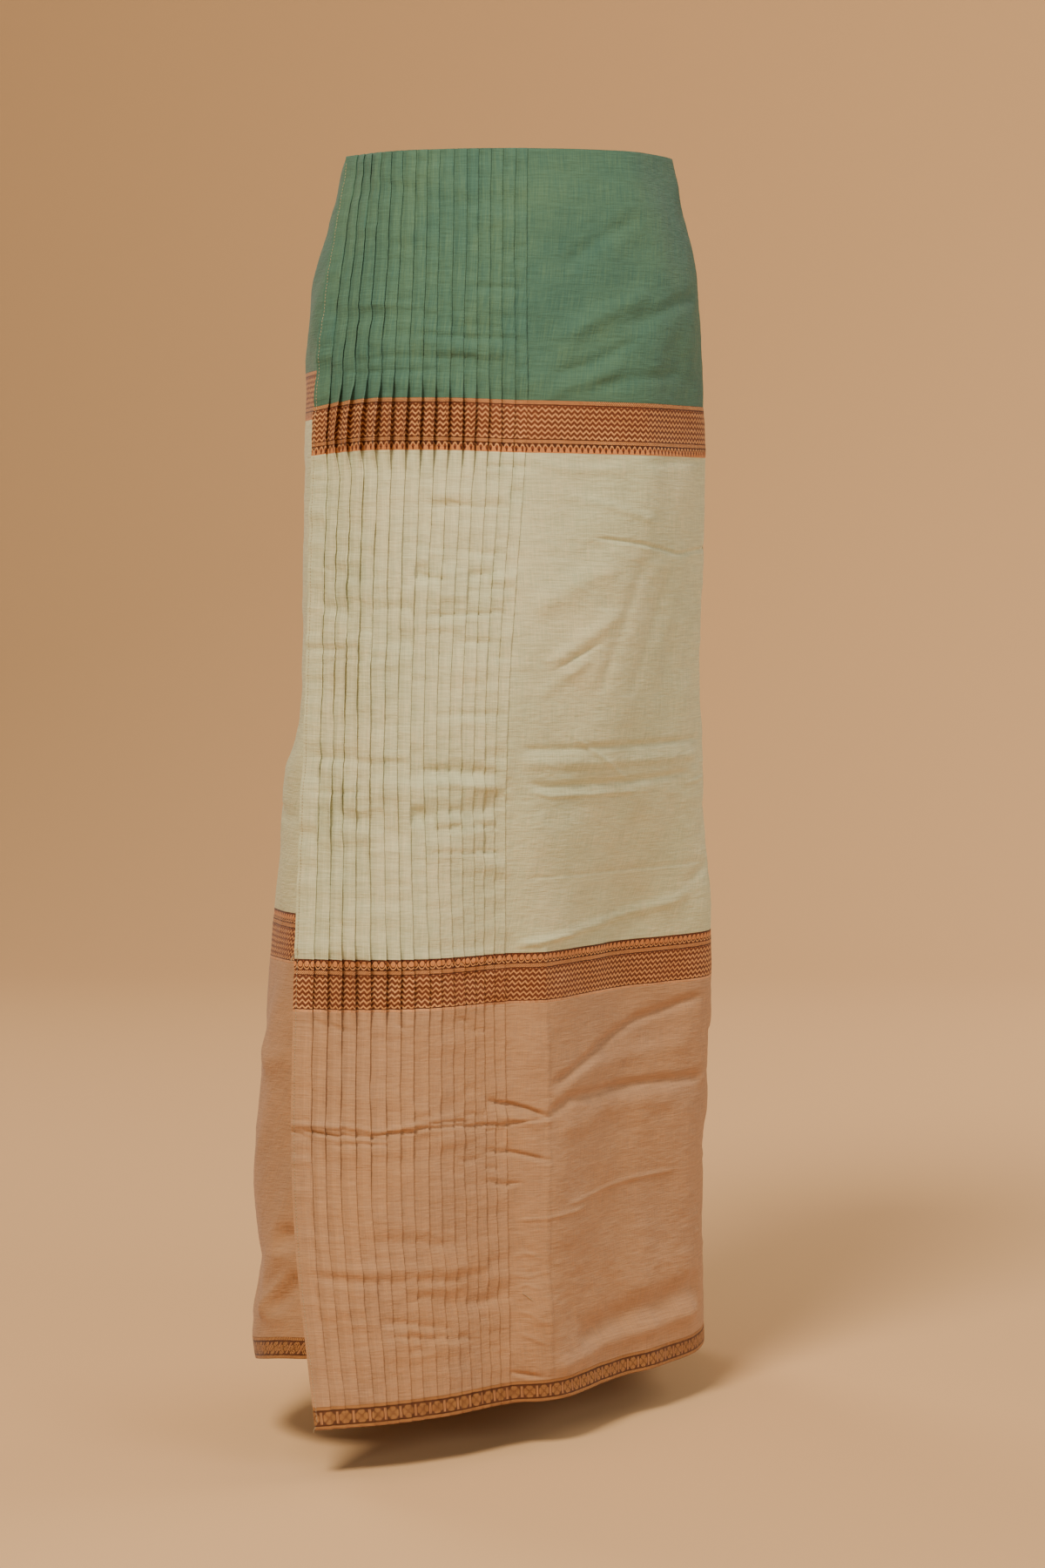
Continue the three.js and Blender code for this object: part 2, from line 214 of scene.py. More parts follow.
# Creases: a line of (along, level) in mm, the width of its shoulder and its
# height, negative for a groove. along counts from the free edge, or from the station named.
CREASES = [
    # drawn towards the side at the hips
    dict(line=[(195, -195), (225, -185), (260, -170)], width=5.0, out=1.3),
    dict(line=[(195, -180), (230, -170), (270, -150)], width=3.5, out=-1.2),
    dict(line=[(205, -150), (240, -130), (280, -112)], width=7.0, out=1.6),
    dict(line=[(230, -190), (270, -180), (330, -175)], width=4.0, out=-1.0),
    dict(line=[(260, -140), (310, -120), (350, -110)], width=6.0, out=-1.4),
    dict(line=[(200, -95), (235, -70), (270, -50)], width=6.0, out=-1.2),
    dict(line=[(85, -150), (175, -152)], width=2.0, out=-0.8),
    dict(line=[(50, -166), (170, -168)], width=2.5, out=-0.7),
    dict(line=[(20, -178), (105, -180)], width=2.0, out=-0.7),
    dict(line=[(120, -110), (175, -112)], width=2.5, out=-0.8),
    dict(line=[(30, -124), (90, -126)], width=2.5, out=0.7),
    # just under the upper border
    dict(line=[(140, -253), (195, -254)], width=2.0, out=-0.9),
    dict(line=[(230, -247), (260, -247)], width=2.0, out=-0.8),
    dict(line=[(280, -248), (390, -244)], width=2.0, out=-0.9),
    dict(line=[(190, -251), (220, -255), (275, -253)], width=2.5, out=0.9),
    # pressed and pulled lines over the thighs
    dict(line=[(210, -275), (250, -283), (300, -296)], width=2.0, out=0.9),
    dict(line=[(235, -309), (285, -314), (335, -322), (410, -317)], width=1.5, out=-0.9),
    dict(line=[(260, -330), (185, -368)], width=10, out=1.7),
    dict(line=[(270, -368), (200, -414)], width=6.0, out=1.2),
    dict(line=[(250, -394), (205, -418)], width=1.7, out=-0.9),
    dict(line=[(240, -408), (190, -440)], width=5.0, out=0.9),
    dict(line=[(290, -325), (250, -440)], width=6.0, out=-0.9),
    dict(line=[(325, -335), (285, -440)], width=6.0, out=-0.9),
    dict(line=[(355, -345), (320, -450)], width=8.0, out=-0.8),
    dict(line=[(180, -482), (405, -480)], width=3.0, out=-1.0),
    dict(line=[(180, -494), (400, -493)], width=5.0, out=0.9),
    dict(line=[(225, -470), (250, -485), (295, -510)], width=1.3, out=0.5),
    dict(line=[(185, -509), (205, -513), (320, -511), (385, -508)], width=3.5, out=-1.3),
    dict(line=[(190, -517), (210, -521), (310, -520)], width=1.8, out=0.7),
    dict(line=[(375, -518), (420, -513)], width=1.6, out=0.6),
    dict(line=[(190, -644), (290, -632), (380, -620), (400, -612)], width=3.0, out=1.5),
    dict(line=[(425, -588), (390, -608)], width=5.0, out=-1.4),
    # across the pleats over the thighs
    dict(line=[(100, -277), (170, -276)], width=5.0, out=0.8),
    dict(line=[(100, -286), (170, -286)], width=2.5, out=-0.7),
    dict(line=[(100, -320), (165, -325)], width=2.5, out=-0.6),
    dict(line=[(85, -342), (125, -346)], width=1.7, out=-1.3),
    dict(line=[(130, -340), (170, -339)], width=1.8, out=-1.1),
    dict(line=[(100, -362), (170, -360)], width=5.0, out=0.8),
    dict(line=[(100, -375), (170, -370)], width=1.5, out=-1.1),
    dict(line=[(120, -396), (155, -394)], width=1.7, out=-0.8),
    dict(line=[(100, -403), (125, -405)], width=1.6, out=-0.7),
    dict(line=[(150, -406), (172, -406)], width=1.6, out=-0.7),
    dict(line=[(15, -409), (55, -411)], width=1.5, out=-0.9),
    dict(line=[(100, -454), (170, -453)], width=3.5, out=-0.9),
    dict(line=[(0, -486), (50, -492), (90, -492)], width=2.8, out=-0.9),
    dict(line=[(95, -498), (170, -501)], width=5.0, out=-1.7),
    dict(line=[(100, -509), (170, -511)], width=4.0, out=1.0),
    dict(line=[(0, -516), (60, -516)], width=2.0, out=-0.9),
    dict(line=[(90, -532), (170, -529)], width=7.0, out=-1.2),
    dict(line=[(100, -546), (170, -543)], width=2.5, out=-0.9),
    dict(line=[(100, -564), (175, -565)], width=1.6, out=-0.9),
    # short slants below the lower border
    dict(line=[(15, -697), (30, -703)], width=1.6, out=-0.8),
    dict(line=[(25, -701), (50, -709)], width=1.6, out=-0.9),
    dict(line=[(80, -698), (95, -708)], width=1.6, out=-0.8),
    dict(line=[(135, -699), (155, -705)], width=1.6, out=-0.7),
    dict(line=[(140, -709), (175, -714)], width=1.8, out=-0.8),
    # the long pressed fold below the knee
    dict(line=[(-8, -785), (15, -791)], width=1.3, out=-1.1),
    dict(line=[(-8, -781), (40, -782), (70, -787), (125, -780)], width=2.2, out=1.0),
    dict(line=[(5, -786), (50, -791), (80, -793)], width=1.3, out=-1.2),
    dict(line=[(35, -797), (85, -797)], width=1.3, out=-0.7),
    dict(line=[(60, -790), (85, -788), (100, -789), (115, -786), (190, -791), (230, -787)],
         width=1.3, out=-1.1),
    dict(line=[(95, -781), (130, -783), (160, -785)], width=1.7, out=-0.9),
    dict(line=[(170, -770), (190, -774), (210, -780), (230, -788)], width=1.9, out=-2.0),
    dict(line=[(180, -782), (225, -793)], width=3.5, out=1.1),
    dict(line=[(165, -811), (190, -813), (230, -823)], width=1.8, out=-1.4),
    dict(line=[(140, -816), (165, -816)], width=1.6, out=-0.9),
    dict(line=[(165, -823), (185, -828)], width=1.6, out=-0.9),
    dict(line=[(165, -835), (190, -840), (205, -840)], width=1.8, out=-1.2),
    # soft bands across the shins
    dict(line=[(55, -873), (150, -886)], width=6.0, out=-0.8),
    dict(line=[(10, -896), (150, -903)], width=4.0, out=0.7),
    dict(line=[(10, -904), (145, -913)], width=3.5, out=-0.8),
    dict(line=[(80, -922), (185, -937)], width=7.0, out=-1.0),
    dict(line=[(60, -940), (130, -951)], width=2.8, out=-0.8),
    dict(line=[(60, -951), (150, -963)], width=2.2, out=-0.9),
    dict(line=[(80, -967), (110, -964)], width=2.8, out=-0.8),
    dict(line=[(180, -996), (215, -1003)], width=1.8, out=-1.3),
    # a slub in the sage field
    dict(line=[(10, -591), (110, -591)], width=1.2, out=-0.3),
    dict(line=[(195, -588), (425, -588)], width=1.2, out=-0.4),
    # pulled from the knee towards the side
    dict(line=[(225, -786), (255, -775), (385, -775), (445, -778)], width=5.0, out=-2.4),
    dict(line=[(230, -762), (280, -746), (355, -720), (430, -705)], width=4.5, out=-2.2),
    dict(line=[(240, -800), (320, -790), (410, -790)], width=9.0, out=1.2),
    dict(line=[(250, -757), (330, -750), (420, -745)], width=8.0, out=1.0),
    dict(line=[(195, -871), (280, -868)], width=1.5, out=0.6),
    dict(line=[(250, -862), (350, -855), (410, -855)], width=1.8, out=0.7),
    dict(line=[(260, -977), (360, -968), (450, -960)], width=11, out=-2.8),
    dict(line=[(220, -998), (295, -989), (450, -984)], width=8.0, out=1.6),
    # the pressed corner beside the pleats, and crinkles along it
    dict(line=[(216, -640), (224, -730), (227, -820), (222, -920), (218, -1010)], width=1.8,
         out=0.9),
    dict(line=[(190, -901), (205, -898), (222, -905)], width=1.4, out=0.5),
    dict(line=[(190, -915), (205, -918), (222, -914)], width=1.4, out=0.5),
    dict(line=[(188, -929), (202, -924), (220, -931)], width=1.4, out=0.5),
    dict(line=[(188, -945), (204, -949), (220, -960)], width=1.4, out=0.5),
    dict(line=[(190, -963), (205, -969), (218, -977)], width=1.4, out=0.5),
    # round the trailing leg
    dict(base="left", line=[(75, -929), (90, -922), (112, -919)], width=8.5, out=-3.4),
    dict(base="left", line=[(68, -938), (108, -935)], width=6.5, out=1.4),
    dict(base="left", line=[(56, -968), (82, -956), (112, -944)], width=8.0, out=-1.8),
    dict(base="left", line=[(44, -984), (70, -969), (112, -940)], width=6.5, out=2.5),
    dict(base="left", line=[(66, -984), (88, -970), (114, -954)], width=8.0, out=-2.6),
    dict(base="left", line=[(46, -980), (70, -987), (96, -989)], width=6.5, out=1.6),
    dict(base="left", line=[(40, -560), (80, -572), (110, -566)], width=6.0, out=-1.2),
    dict(base="left", line=[(20, -760), (60, -776), (110, -770)], width=9.0, out=1.3),
    # over the seat and the calves
    dict(base="right", line=[(40, -300), (120, -310), (200, -305)], width=8.0, out=2.0),
    dict(base="right", line=[(150, -330), (240, -322), (300, -330)], width=2.6, out=-1.4),
    dict(base="right", line=[(20, -420), (110, -436), (190, -430)], width=5.0, out=-2.0),
    dict(base="right", line=[(60, -470), (150, -482), (250, -474)], width=9.0, out=2.0),
    dict(base="right", line=[(180, -500), (260, -492), (330, -500)], width=3.0, out=-1.8),
    dict(base="right", line=[(30, -515), (120, -520), (200, -512)], width=3.5, out=-2.0),
    dict(base="right", line=[(60, -600), (180, -585), (300, -600)], width=10, out=2.4),
    dict(base="right", line=[(10, -745), (100, -760), (190, -750)], width=7.0, out=-2.6),
    dict(base="right", line=[(40, -785), (130, -775), (230, -790)], width=2.5, out=-2.2),
    dict(base="right", line=[(200, -792), (300, -780), (380, -790)], width=2.5, out=-2.0),
    dict(base="right", line=[(60, -860), (200, -880), (340, -850)], width=12, out=2.8),
    dict(base="right", line=[(120, -930), (240, -945), (380, -930)], width=6.0, out=-2.6),
    dict(base="right", line=[(250, -980), (330, -970), (430, -985)], width=8.0, out=2.4),
]

# Crumpled belts across the cloth: level, half height and strength
BELTS = [
    dict(level=-160, reach=30, strength=0.4),
    dict(level=-335, reach=30, strength=0.7),
    dict(level=-400, reach=30, strength=0.6),
    dict(level=-525, reach=34, strength=1.1),
    dict(level=-790, reach=26, strength=0.9),
    dict(level=-930, reach=44, strength=0.8),
]

# How much higher than in the table creases are drawn, so that they show in soft light, and over
# what length in mm a crease runs out
CREASE_GAIN = 1.9
RUN_OUT = 14.0

# Crinkles: their strength between the belts and its share below the knees, and their heights in mm
# on the pleats and on the plain cloth
CALM = 0.7
BELOW_KNEES = 0.62
WAVE = 1.45
RIPPLE = 0.7
FINE_LINE = 0.7
LINE_WIDTH = 0.14
SWELL = 2.6
CRUMPLE = 0.3

# How flat the cloth behind the pleated panel is pressed, and over what length that begins
PRESSED_FLAT = 0.75
FLATTENS_OVER = 15

# Smooth seeded noises: cell along and down the cloth in mm, seed, and height where it isn't 1.
# Strips lie one cell apart, so that each has its own.
STRIP = 50
EDGE_SWAY = dict(cell=(STRIP, 110), seed=11, out=0.45)
EDGE_FLUTTER = dict(cell=(STRIP, 24), seed=12, out=0.42)
EDGE_LIFT = dict(cell=(STRIP, 60), seed=21, out=0.08)
EDGE_GAPE = dict(cell=(STRIP, 22), seed=22, out=0.8)
PLEAT_WAVE = dict(cell=(80, 13), seed=31)
PLEAT_RIPPLE = dict(cell=(50, 6.5), seed=32)
LINE_GATE = dict(cell=(120, 50), seed=33, out=1.4)
BROAD_SWELL = dict(cell=(60, 85), seed=34)
SMALL_SWELL = dict(cell=(26, 36), seed=35, out=0.5)
FINE_CRUMPLE = dict(cell=(13, 8), seed=36)
FINER_CRUMPLE = dict(cell=(7, 5), seed=37, out=0.6)
CREASE_SHIFT = dict(cell=(STRIP, 120), seed=41)

# Spacing of the rows in mm: on the pleats and the plain stretches, and closer where a crease
# narrower than SHARP runs and over the levels of the long pressed fold
PLEAT_ROW = 2.3
FRONT_ROW = 3.2
REAR_ROW = 4.6
SHARP_ROW = 1.25
SHARP = 2.0
PRESSED = (-768, -803)

# Sewing in mm: how far the free edge's hem stands up and over what width it steps down, the
# thread's half thickness, drawn a little thick so that it shows, how far the seam lies inside the
# hem's width and from its ends, and how much of a stitch's length shows
EDGE_HEM_RISE = 0.4
EDGE_HEM_STEP = 0.5
THREAD = 0.24
THREAD_SIDES = 6
STITCH_INSET = 0.6
SEAM_ENDS = 6
STITCH_SHARE = 0.68

# Loose threads: where each starts on the cloth, and its way from there in mm as (x, y, z)
LOOSE_ENDS = [
    dict(level=-646, along=0.6, steps=[(-1.5, -0.8, -1), (-2.8, -1, -3.5), (-3.6, -1, -7)]),
    dict(level=-649, along=0.5, steps=[(-1.8, -1, 0.6), (-2.6, -1.2, -1.6), (-1.8, -1.2, -4.2)]),
    dict(level=-652, along=0.6, steps=[(-1.2, -1, 1.4), (0.8, -1.4, 2.6), (2.6, -1.2, 1.6)]),
    dict(level=-643, along=0.8, steps=[(1.4, -1, 1.2), (2.2, -1.2, -0.8), (1.2, -1.2, -2.4)]),
    dict(level=-1020, along=0.8, steps=[(-0.8, -0.6, -1.6), (-1.8, -0.8, -3.6), (-1.4, -0.8, -5)]),
    dict(level=-931, along=198, steps=[(3, -0.5, -1.4), (6, -0.5, -3.6), (9, -0.4, -5.8)]),
]

# The paper sweep in metres: its front edge, where it starts to rise, the curve's radius, its top
# and half its width
PAPER_FRONT = -7.0
PAPER_BEND = 3.1
PAPER_RADIUS = 2.4
PAPER_TOP = 6.0
PAPER_HALF = 8.0
PAPER_STEPS = 24

# Soft lamps: place, what they are aimed at and width in metres, and power in watts
LAMPS = [
    dict(name="key", at=(-1.0, -2.4, 2.2), aim=(0, 0, -0.5), size=1.1, power=166, tint="#fff1e0"),
    dict(name="fill", at=(2.4, -2.3, 0.3), aim=(0, 0, -0.6), size=2.0, power=46, tint="#f4f1f2"),
    dict(name="back", at=(2.2, 0.9, 0.8), aim=(0, 0, -0.5), size=1.4, power=18, tint="#fff4e8"),
    dict(name="rear", at=(-1.8, 2.2, 1.4), aim=(0, 0, -0.5), size=1.6, power=34, tint="#fff4e8"),
    dict(name="wall", at=(2.4, 2.0, 1.2), aim=(0.5, 5.2, -0.4), size=1.6, power=84,
         tint="#fff4e8"),
]


def through(knots, values, at):
    """A smooth curve through values at falling or rising knots, for one place or many."""
    knots = np.asarray(knots, float)
    values = np.asarray(values, float)
    at = np.asarray(at, float)
    if knots[1] < knots[0]:
        knots = -knots
        at = -at
    slope = np.empty_like(values)
    slope[1:-1] = (values[2:] - values[:-2]) / (knots[2:] - knots[:-2])
    slope[0] = (values[1] - values[0]) / (knots[1] - knots[0])
    slope[-1] = (values[-1] - values[-2]) / (knots[-1] - knots[-2])
    i = np.clip(np.searchsorted(knots, at, side="right") - 1, 0, len(knots) - 2)
    span = knots[i + 1] - knots[i]
    t = np.clip((at - knots[i]) / span, 0, 1)
    t2 = t * t
    t3 = t2 * t
    return (
        (2 * t3 - 3 * t2 + 1) * values[i]
        + (t3 - 2 * t2 + t) * span * slope[i]
        + (3 * t2 - 2 * t3) * values[i + 1]
        + (t3 - t2) * span * slope[i + 1]
    )


def at_level(pairs, level):
    """The value at a level of a list of (level, value)."""
    return float(np.interp(-level, [-z for z, _ in pairs], [value for _, value in pairs]))


def soft_noise(along, level, cell, seed, out=1.0):
    """Smooth noise from -out to out over the cloth, with cells of (along, level) mm."""
    # The field starts a little before the free edge and above the waist
    x = (np.asarray(along, float) + 100) / cell[0]
    y = (60 - np.asarray(level, float)) / cell[1]
    x, y = np.broadcast_arrays(x, y)
    size = (int(1200 / cell[1]) + 3, int(2000 / cell[0]) + 3)
    heights = np.random.default_rng(seed).uniform(-1, 1, size)
    i = x.astype(int)
    j = y.astype(int)
    u = x - i
    v = y - j
    u = u * u * u * (u * (u * 6 - 15) + 10)
    v = v * v * v * (v * (v * 6 - 15) + 10)
    top = heights[j, i] * (1 - u) + heights[j, i + 1] * u
    foot = heights[j + 1, i] * (1 - u) + heights[j + 1, i + 1] * u
    return out * (top * (1 - v) + foot * v)


class Wrap:
    """The plan of the wrap at every level, which turns places on the cloth into points."""

    STEP = 4.0
    SAMPLES = 40

    def __init__(self):
        self.levels = np.arange(WAIST, HEM - self.STEP, -self.STEP)
        knots = [row["z"] for row in SECTIONS]
        at = np.clip(self.levels, HEM, WAIST)

        def column(read):
            return through(knots, [read(row) for row in SECTIONS], at)

        points = {
            name: np.stack([column(lambda row: row[name][k]) for k in (0, 1)], 1) for name in OUTER
        }
        slack_edge = column(lambda row: row["slack_edge"])
        slack_end = column(lambda row: row["slack_end"])
        for name, above in UNDER.items():
            place = OUTER.index(above)
            along = points[OUTER[place + 1]] - points[OUTER[max(place - 1, 0)]]
            along /= np.linalg.norm(along, axis=1, keepdims=True)
            share = place / OUTER.index(UNDER["under_end"])
            slack = slack_edge + (slack_end - slack_edge) * share
            inwards = np.stack([-along[:, 1], along[:, 0]], 1)
            points[name] = points[above] + inwards * slack[:, None]
        plan = np.stack([points[name] for name in STATIONS], 1)
        self.curve = self.smooth(plan)
        steps = np.linalg.norm(np.diff(self.curve, axis=1), axis=2)
        self.length = np.concatenate([np.zeros((len(self.levels), 1)), np.cumsum(steps, 1)], 1)
        self.tangent = np.gradient(self.curve, axis=1)
        self.tangent /= np.linalg.norm(self.tangent, axis=2, keepdims=True)

    def smooth(self, plan):
        """A centripetal Catmull-Rom curve through the stations of each level."""
        first = 2 * plan[:, :1] - plan[:, 1:2]
        last = 2 * plan[:, -1:] - plan[:, -2:-1]
        padded = np.concatenate([first, plan, last], 1)
        parts = []
        t = (np.arange(self.SAMPLES) / self.SAMPLES)[None, :, None]
        for k in range(len(STATIONS) - 1):
            p0, p1, p2, p3 = (padded[:, k + j][:, None, :] for j in range(4))
            d0, d1, d2 = (
                np.sqrt(np.linalg.norm(b - a, axis=2, keepdims=True))
                for a, b in ((p0, p1), (p1, p2), (p2, p3))
            )
            m1 = ((p1 - p0) / d0 - (p2 - p0) / (d0 + d1) + (p2 - p1) / d1) * d1
            m2 = ((p2 - p1) / d1 - (p3 - p1) / (d1 + d2) + (p3 - p2) / d2) * d1
            parts.append(
                (2 * t**3 - 3 * t**2 + 1) * p1
                + (t**3 - 2 * t**2 + t) * m1
                + (3 * t**2 - 2 * t**3) * p2
                + (t**3 - t**2) * m2
            )
        return np.concatenate([*parts, plan[:, -1:]], 1)

    def between(self, values, level):
        """values, kept for each level, at one level."""
        at = np.clip((WAIST - level) / self.STEP, 0, len(self.levels) - 1.001)
        i = int(at)
        return values[i] + (values[i + 1] - values[i]) * (at - i)

    def marks(self, level):
        """How far along the cloth each station lies at one level."""
        lengths = self.between(self.length, level)
        return {name: lengths[i * self.SAMPLES] for i, name in enumerate(STATIONS)}

    def place(self, level, along, height):
        """Points for one row at a level, from places along the cloth and heights off the wrap."""
        lengths = self.between(self.length, level)
        marks = self.marks(level)
        rise = through(
            [marks[row["station"]] for row in RIDE],
            [through(RIDE_LEVELS, row["rise"], level) for row in RIDE],
            along,
        )
        near = np.clip(1 - along / DROOP_WIDTH, 0, 1)
        rise = rise + at_level(DROOP, level) * near**DROOP_FALL
        sample = np.interp(along, lengths, np.arange(len(lengths)))
        levels = level + rise
        at = np.clip((WAIST - levels) / self.STEP, 0, len(self.levels) - 1.001)
        i = at.astype(int)
        j = np.clip(sample.astype(int), 0, len(lengths) - 2)
        u = (at - i)[:, None]
        v = (sample - j)[:, None]

        def blended(values):
            top = values[i, j] * (1 - v) + values[i, j + 1] * v
            foot = values[i + 1, j] * (1 - v) + values[i + 1, j + 1] * v
            return top * (1 - u) + foot * u

        flat = blended(self.curve)
        unit = blended(self.tangent)
        unit /= np.linalg.norm(unit, axis=1, keepdims=True)
        # Before the free edge the plan runs on straight
        overhang = np.minimum(along, 0)
        x = flat[:, 0] + unit[:, 1] * height + unit[:, 0] * overhang
        y = flat[:, 1] - unit[:, 0] * height + unit[:, 1] * overhang
        return np.stack([x, y, levels], 1)


WRAP = Wrap()
STRIPS = np.arange(len(FOLDS)) * float(STRIP)


def fold_edges(level, unevenness):
    """Where the fold edges lie at a level, with the small wander of hand-pressed pleats."""
    at = np.array([through((UPPER_BORDER, LOWER_BORDER, HEM), f["at"], level) for f in FOLDS])
    wander = soft_noise(STRIPS, level, **EDGE_SWAY)
    wander += soft_noise(STRIPS, level, **EDGE_FLUTTER)
    wander += np.array([f["kink"] for f in FOLDS]) * at_level(KINK, level)
    wander[-1] *= 0.4  # the last fold is the panel's straight side
    return at + wander * unevenness


def fold_stands(level):
    """How far each fold edge stands off the strip below it."""
    borders = ((UPPER_BORDER + SAGE_TOP) / 2, (LOWER_BORDER + TAN_TOP) / 2)
    near = [math.exp(-(((level - middle) / OPEN_REACH) ** 4)) for middle in borders]
    lift = soft_noise(STRIPS, level, **EDGE_LIFT) + EDGE_LIFT_MEAN
    gape = np.array([f["gape"] for f in FOLDS]) * at_level(GAPE, level)
    gape *= 1 + soft_noise(STRIPS, level, **EDGE_GAPE)
    return FOLD_STAND + lift + gape, np.array([f["open"] for f in FOLDS]) @ near


def pleat_row(level, unevenness):
    """One row of the pleated panel from above, layer after layer. Each point has its place along
    the panel, its height, its height when pressed flat, and whether folded layers back it, which
    sets the painted shade of light through the thin cloth."""
    row = []
    start = 0.0
    dip = 0.0
    edges = fold_edges(level, unevenness)
    r = LAYER / 2
    top = 2 * LAYER
    for edge, lift, opening in zip(edges, *fold_stands(level)):
        stand = lift + opening
        back = edge - PLEAT_DEPTH
        head = back - STEP_HEAD
        # A point's last value is 0 on a strip's single layer and 1 where folded layers lie behind
        # it, for the painted shade of light through the thin cloth
        for t in STRIP_POINTS:
            rise = top * t * t * (3 - 2 * t)
            row.append((start + (head - start) * t, rise - dip * (1 - t) ** 2, rise, 0))
        for t in DEPTH_POINTS:
            row.append((back + PLEAT_DEPTH * t, top + stand * t * t, top, 1))
        for turn in TURN_POINTS:
            across = edge + r * math.cos(math.radians(turn))
            bent = 1.5 * LAYER + r * math.sin(math.radians(turn))
            row.append((across, bent + stand, bent, 1))
        row.append((edge - PLEAT_DEPTH * 0.5, LAYER + stand * 0.3, LAYER, 1))
        row.append((back, LAYER, LAYER, 1))
        row.append((back - r * 0.9, LAYER / 2, LAYER / 2, 1))
        row.append((back, 0, 0, 1))
        dip = opening * OPEN_DIP
        row.append((edge - PLEAT_DEPTH * 0.3, -dip * 0.8, 0, 1))
        start = edge + STEP_FOOT
    return np.array(row, float).T


def drape_height(stretch, share, level, length):
    """The large soft folds of a plain stretch."""
    height = np.zeros_like(share)
    for drape in (d for d in DRAPES if d["stretch"] == stretch):
        down = min(max((level - drape["top"]) / (HEM - drape["top"]), 0), 1)
        middle = drape["share"][0] + (drape["share"][1] - drape["share"][0]) * down
        hill = np.exp(-((((share - middle) * length) / drape["width"]) ** 2))
        height += drape["out"] * math.sin(down * math.pi / 2) * hill
    return height


def crease_height(crease, along, level):
    """One crease over a row: a soft ridge or groove along its line, running out at its ends."""
    points = np.array(crease["line"], float)
    reach = 3 * crease["width"]
    low = points.min(0) - reach
    high = points.max(0) + reach
    height = np.zeros_like(along)
    near = (along > low[0]) & (along < high[0]) & (level > low[1]) & (level < high[1])
    if not near.any():
        return height
    place = np.stack([along[near], level[near]], 1)
    steps = np.linalg.norm(np.diff(points, axis=0), axis=1)
    best = np.full(len(place), np.inf)
    run = np.zeros(len(place))
    done = 0.0
    for a, b, step in zip(points[:-1], points[1:], steps):
        unit = (b - a) / step
        t = np.clip((place - a) @ unit, 0, step)
        far = np.linalg.norm(place - a - t[:, None] * unit, axis=1)
        run = np.where(far < best, done + t, run)
        best = np.minimum(best, far)
        done += step
    end = np.minimum(run, done - run) / min(RUN_OUT, done * 0.4)
    fade = np.clip(end, 0, 1) ** 0.8
    height[near] = crease["out"] * fade * np.exp(-((best / crease["width"]) ** 2))
    return height


def relief(along, level, marks, edges, look):
    """Every crease, crinkle and swell of a row, as heights off its smooth form."""
    at = np.full_like(along, level)
    strip = np.searchsorted(edges, along).astype(float)
    on_pleats = along < marks["fold"]
    # Each strip was pressed on its own, so a crease steps a little from strip to strip
    shift = soft_noise(strip * STRIP, level, **CREASE_SHIFT)
    stepped = at + np.where(on_pleats, shift, 0)
    height = np.zeros_like(along)
    for crease in CREASES:
        base = marks[crease["base"]] if "base" in crease else 0.0
        height += crease_height(crease, along - base, stepped)
    height *= CREASE_GAIN * look.crease_depth
    for swell in SWELLS:
        hill = np.exp(-(((along - marks["left"] - swell["past"]) / swell["width"]) ** 2))
        height += at_level(swell["heights"], level) * hill
    belt = CALM
    for crumple in BELTS:
        off = (level - crumple["level"]) / crumple["reach"]
        belt += crumple["strength"] * math.exp(-(off**2))
    # On the pleats the crinkles run straight across a strip, with sharp little lines in them
    across = strip * 34 + along * 0.25
    wave = soft_noise(across, level, **PLEAT_WAVE)
    ripple = soft_noise(across, level, **PLEAT_RIPPLE)
    gate = np.clip(soft_noise(across, level, **LINE_GATE) + 0.4, 0, 1)
    lines = np.exp(-((wave / LINE_WIDTH) ** 2)) * gate
    strength = belt * (BELOW_KNEES if level < TAN_TOP else 1.0)
    pleated = strength * (WAVE * wave + RIPPLE * ripple - FINE_LINE * lines)
    swell = soft_noise(along, level, **BROAD_SWELL)
    swell += soft_noise(along, level, **SMALL_SWELL)
    fine = soft_noise(along, level, **FINE_CRUMPLE)
    fine += soft_noise(along, level, **FINER_CRUMPLE)
    plain = SWELL * swell + CRUMPLE * belt * fine
    # The pleats' crinkles give way to the plain cloth's just past the last fold
    share = 1 / (1 + np.exp((along - marks["fold"] - 4) / 3))
    # Behind the pleated panel the cloth is pressed flat between the layers
    behind = np.clip((along - marks["under_edge"]) / FLATTENS_OVER, 0, 1)
    flat = 1 - PRESSED_FLAT * behind
    return flat * (height + look.crinkle * (share * pleated + (1 - share) * plain))


def row_levels(stretch, top, foot):
    """Levels of a piece's rows, closer together where a sharp crease runs."""
    if stretch == "pleats":
        close = [z for z in np.arange(*PRESSED, -SHARP_ROW) if top > z > foot]
        count = math.ceil((top - foot) / PLEAT_ROW)
        rows = np.linspace(top, foot, count + 1)
        if close:
            rows = [z for z in rows if abs(z - close[0]) > 1 and not close[0] > z > close[-1] - 1]
        return np.array(sorted([*rows, *close], reverse=True), float)
    base = {"front": None, "back": "right", "underlap": "left"}[stretch]
    belts = [
        (max(z for _, z in c["line"]) + 4, min(z for _, z in c["line"]) - 4)
        for c in CREASES
        if c["width"] < SHARP and c.get("base") == base and c["line"][-1][0] > PANEL
    ]
    rows = [float(top)]
    while rows[-1] > foot:
        sharp = any(high > rows[-1] > low for high, low in belts)
        rows.append(rows[-1] - (SHARP_ROW if sharp else FRONT_ROW if base is None else REAR_ROW))
    rows[-1] = float(foot)
    return np.array(rows)


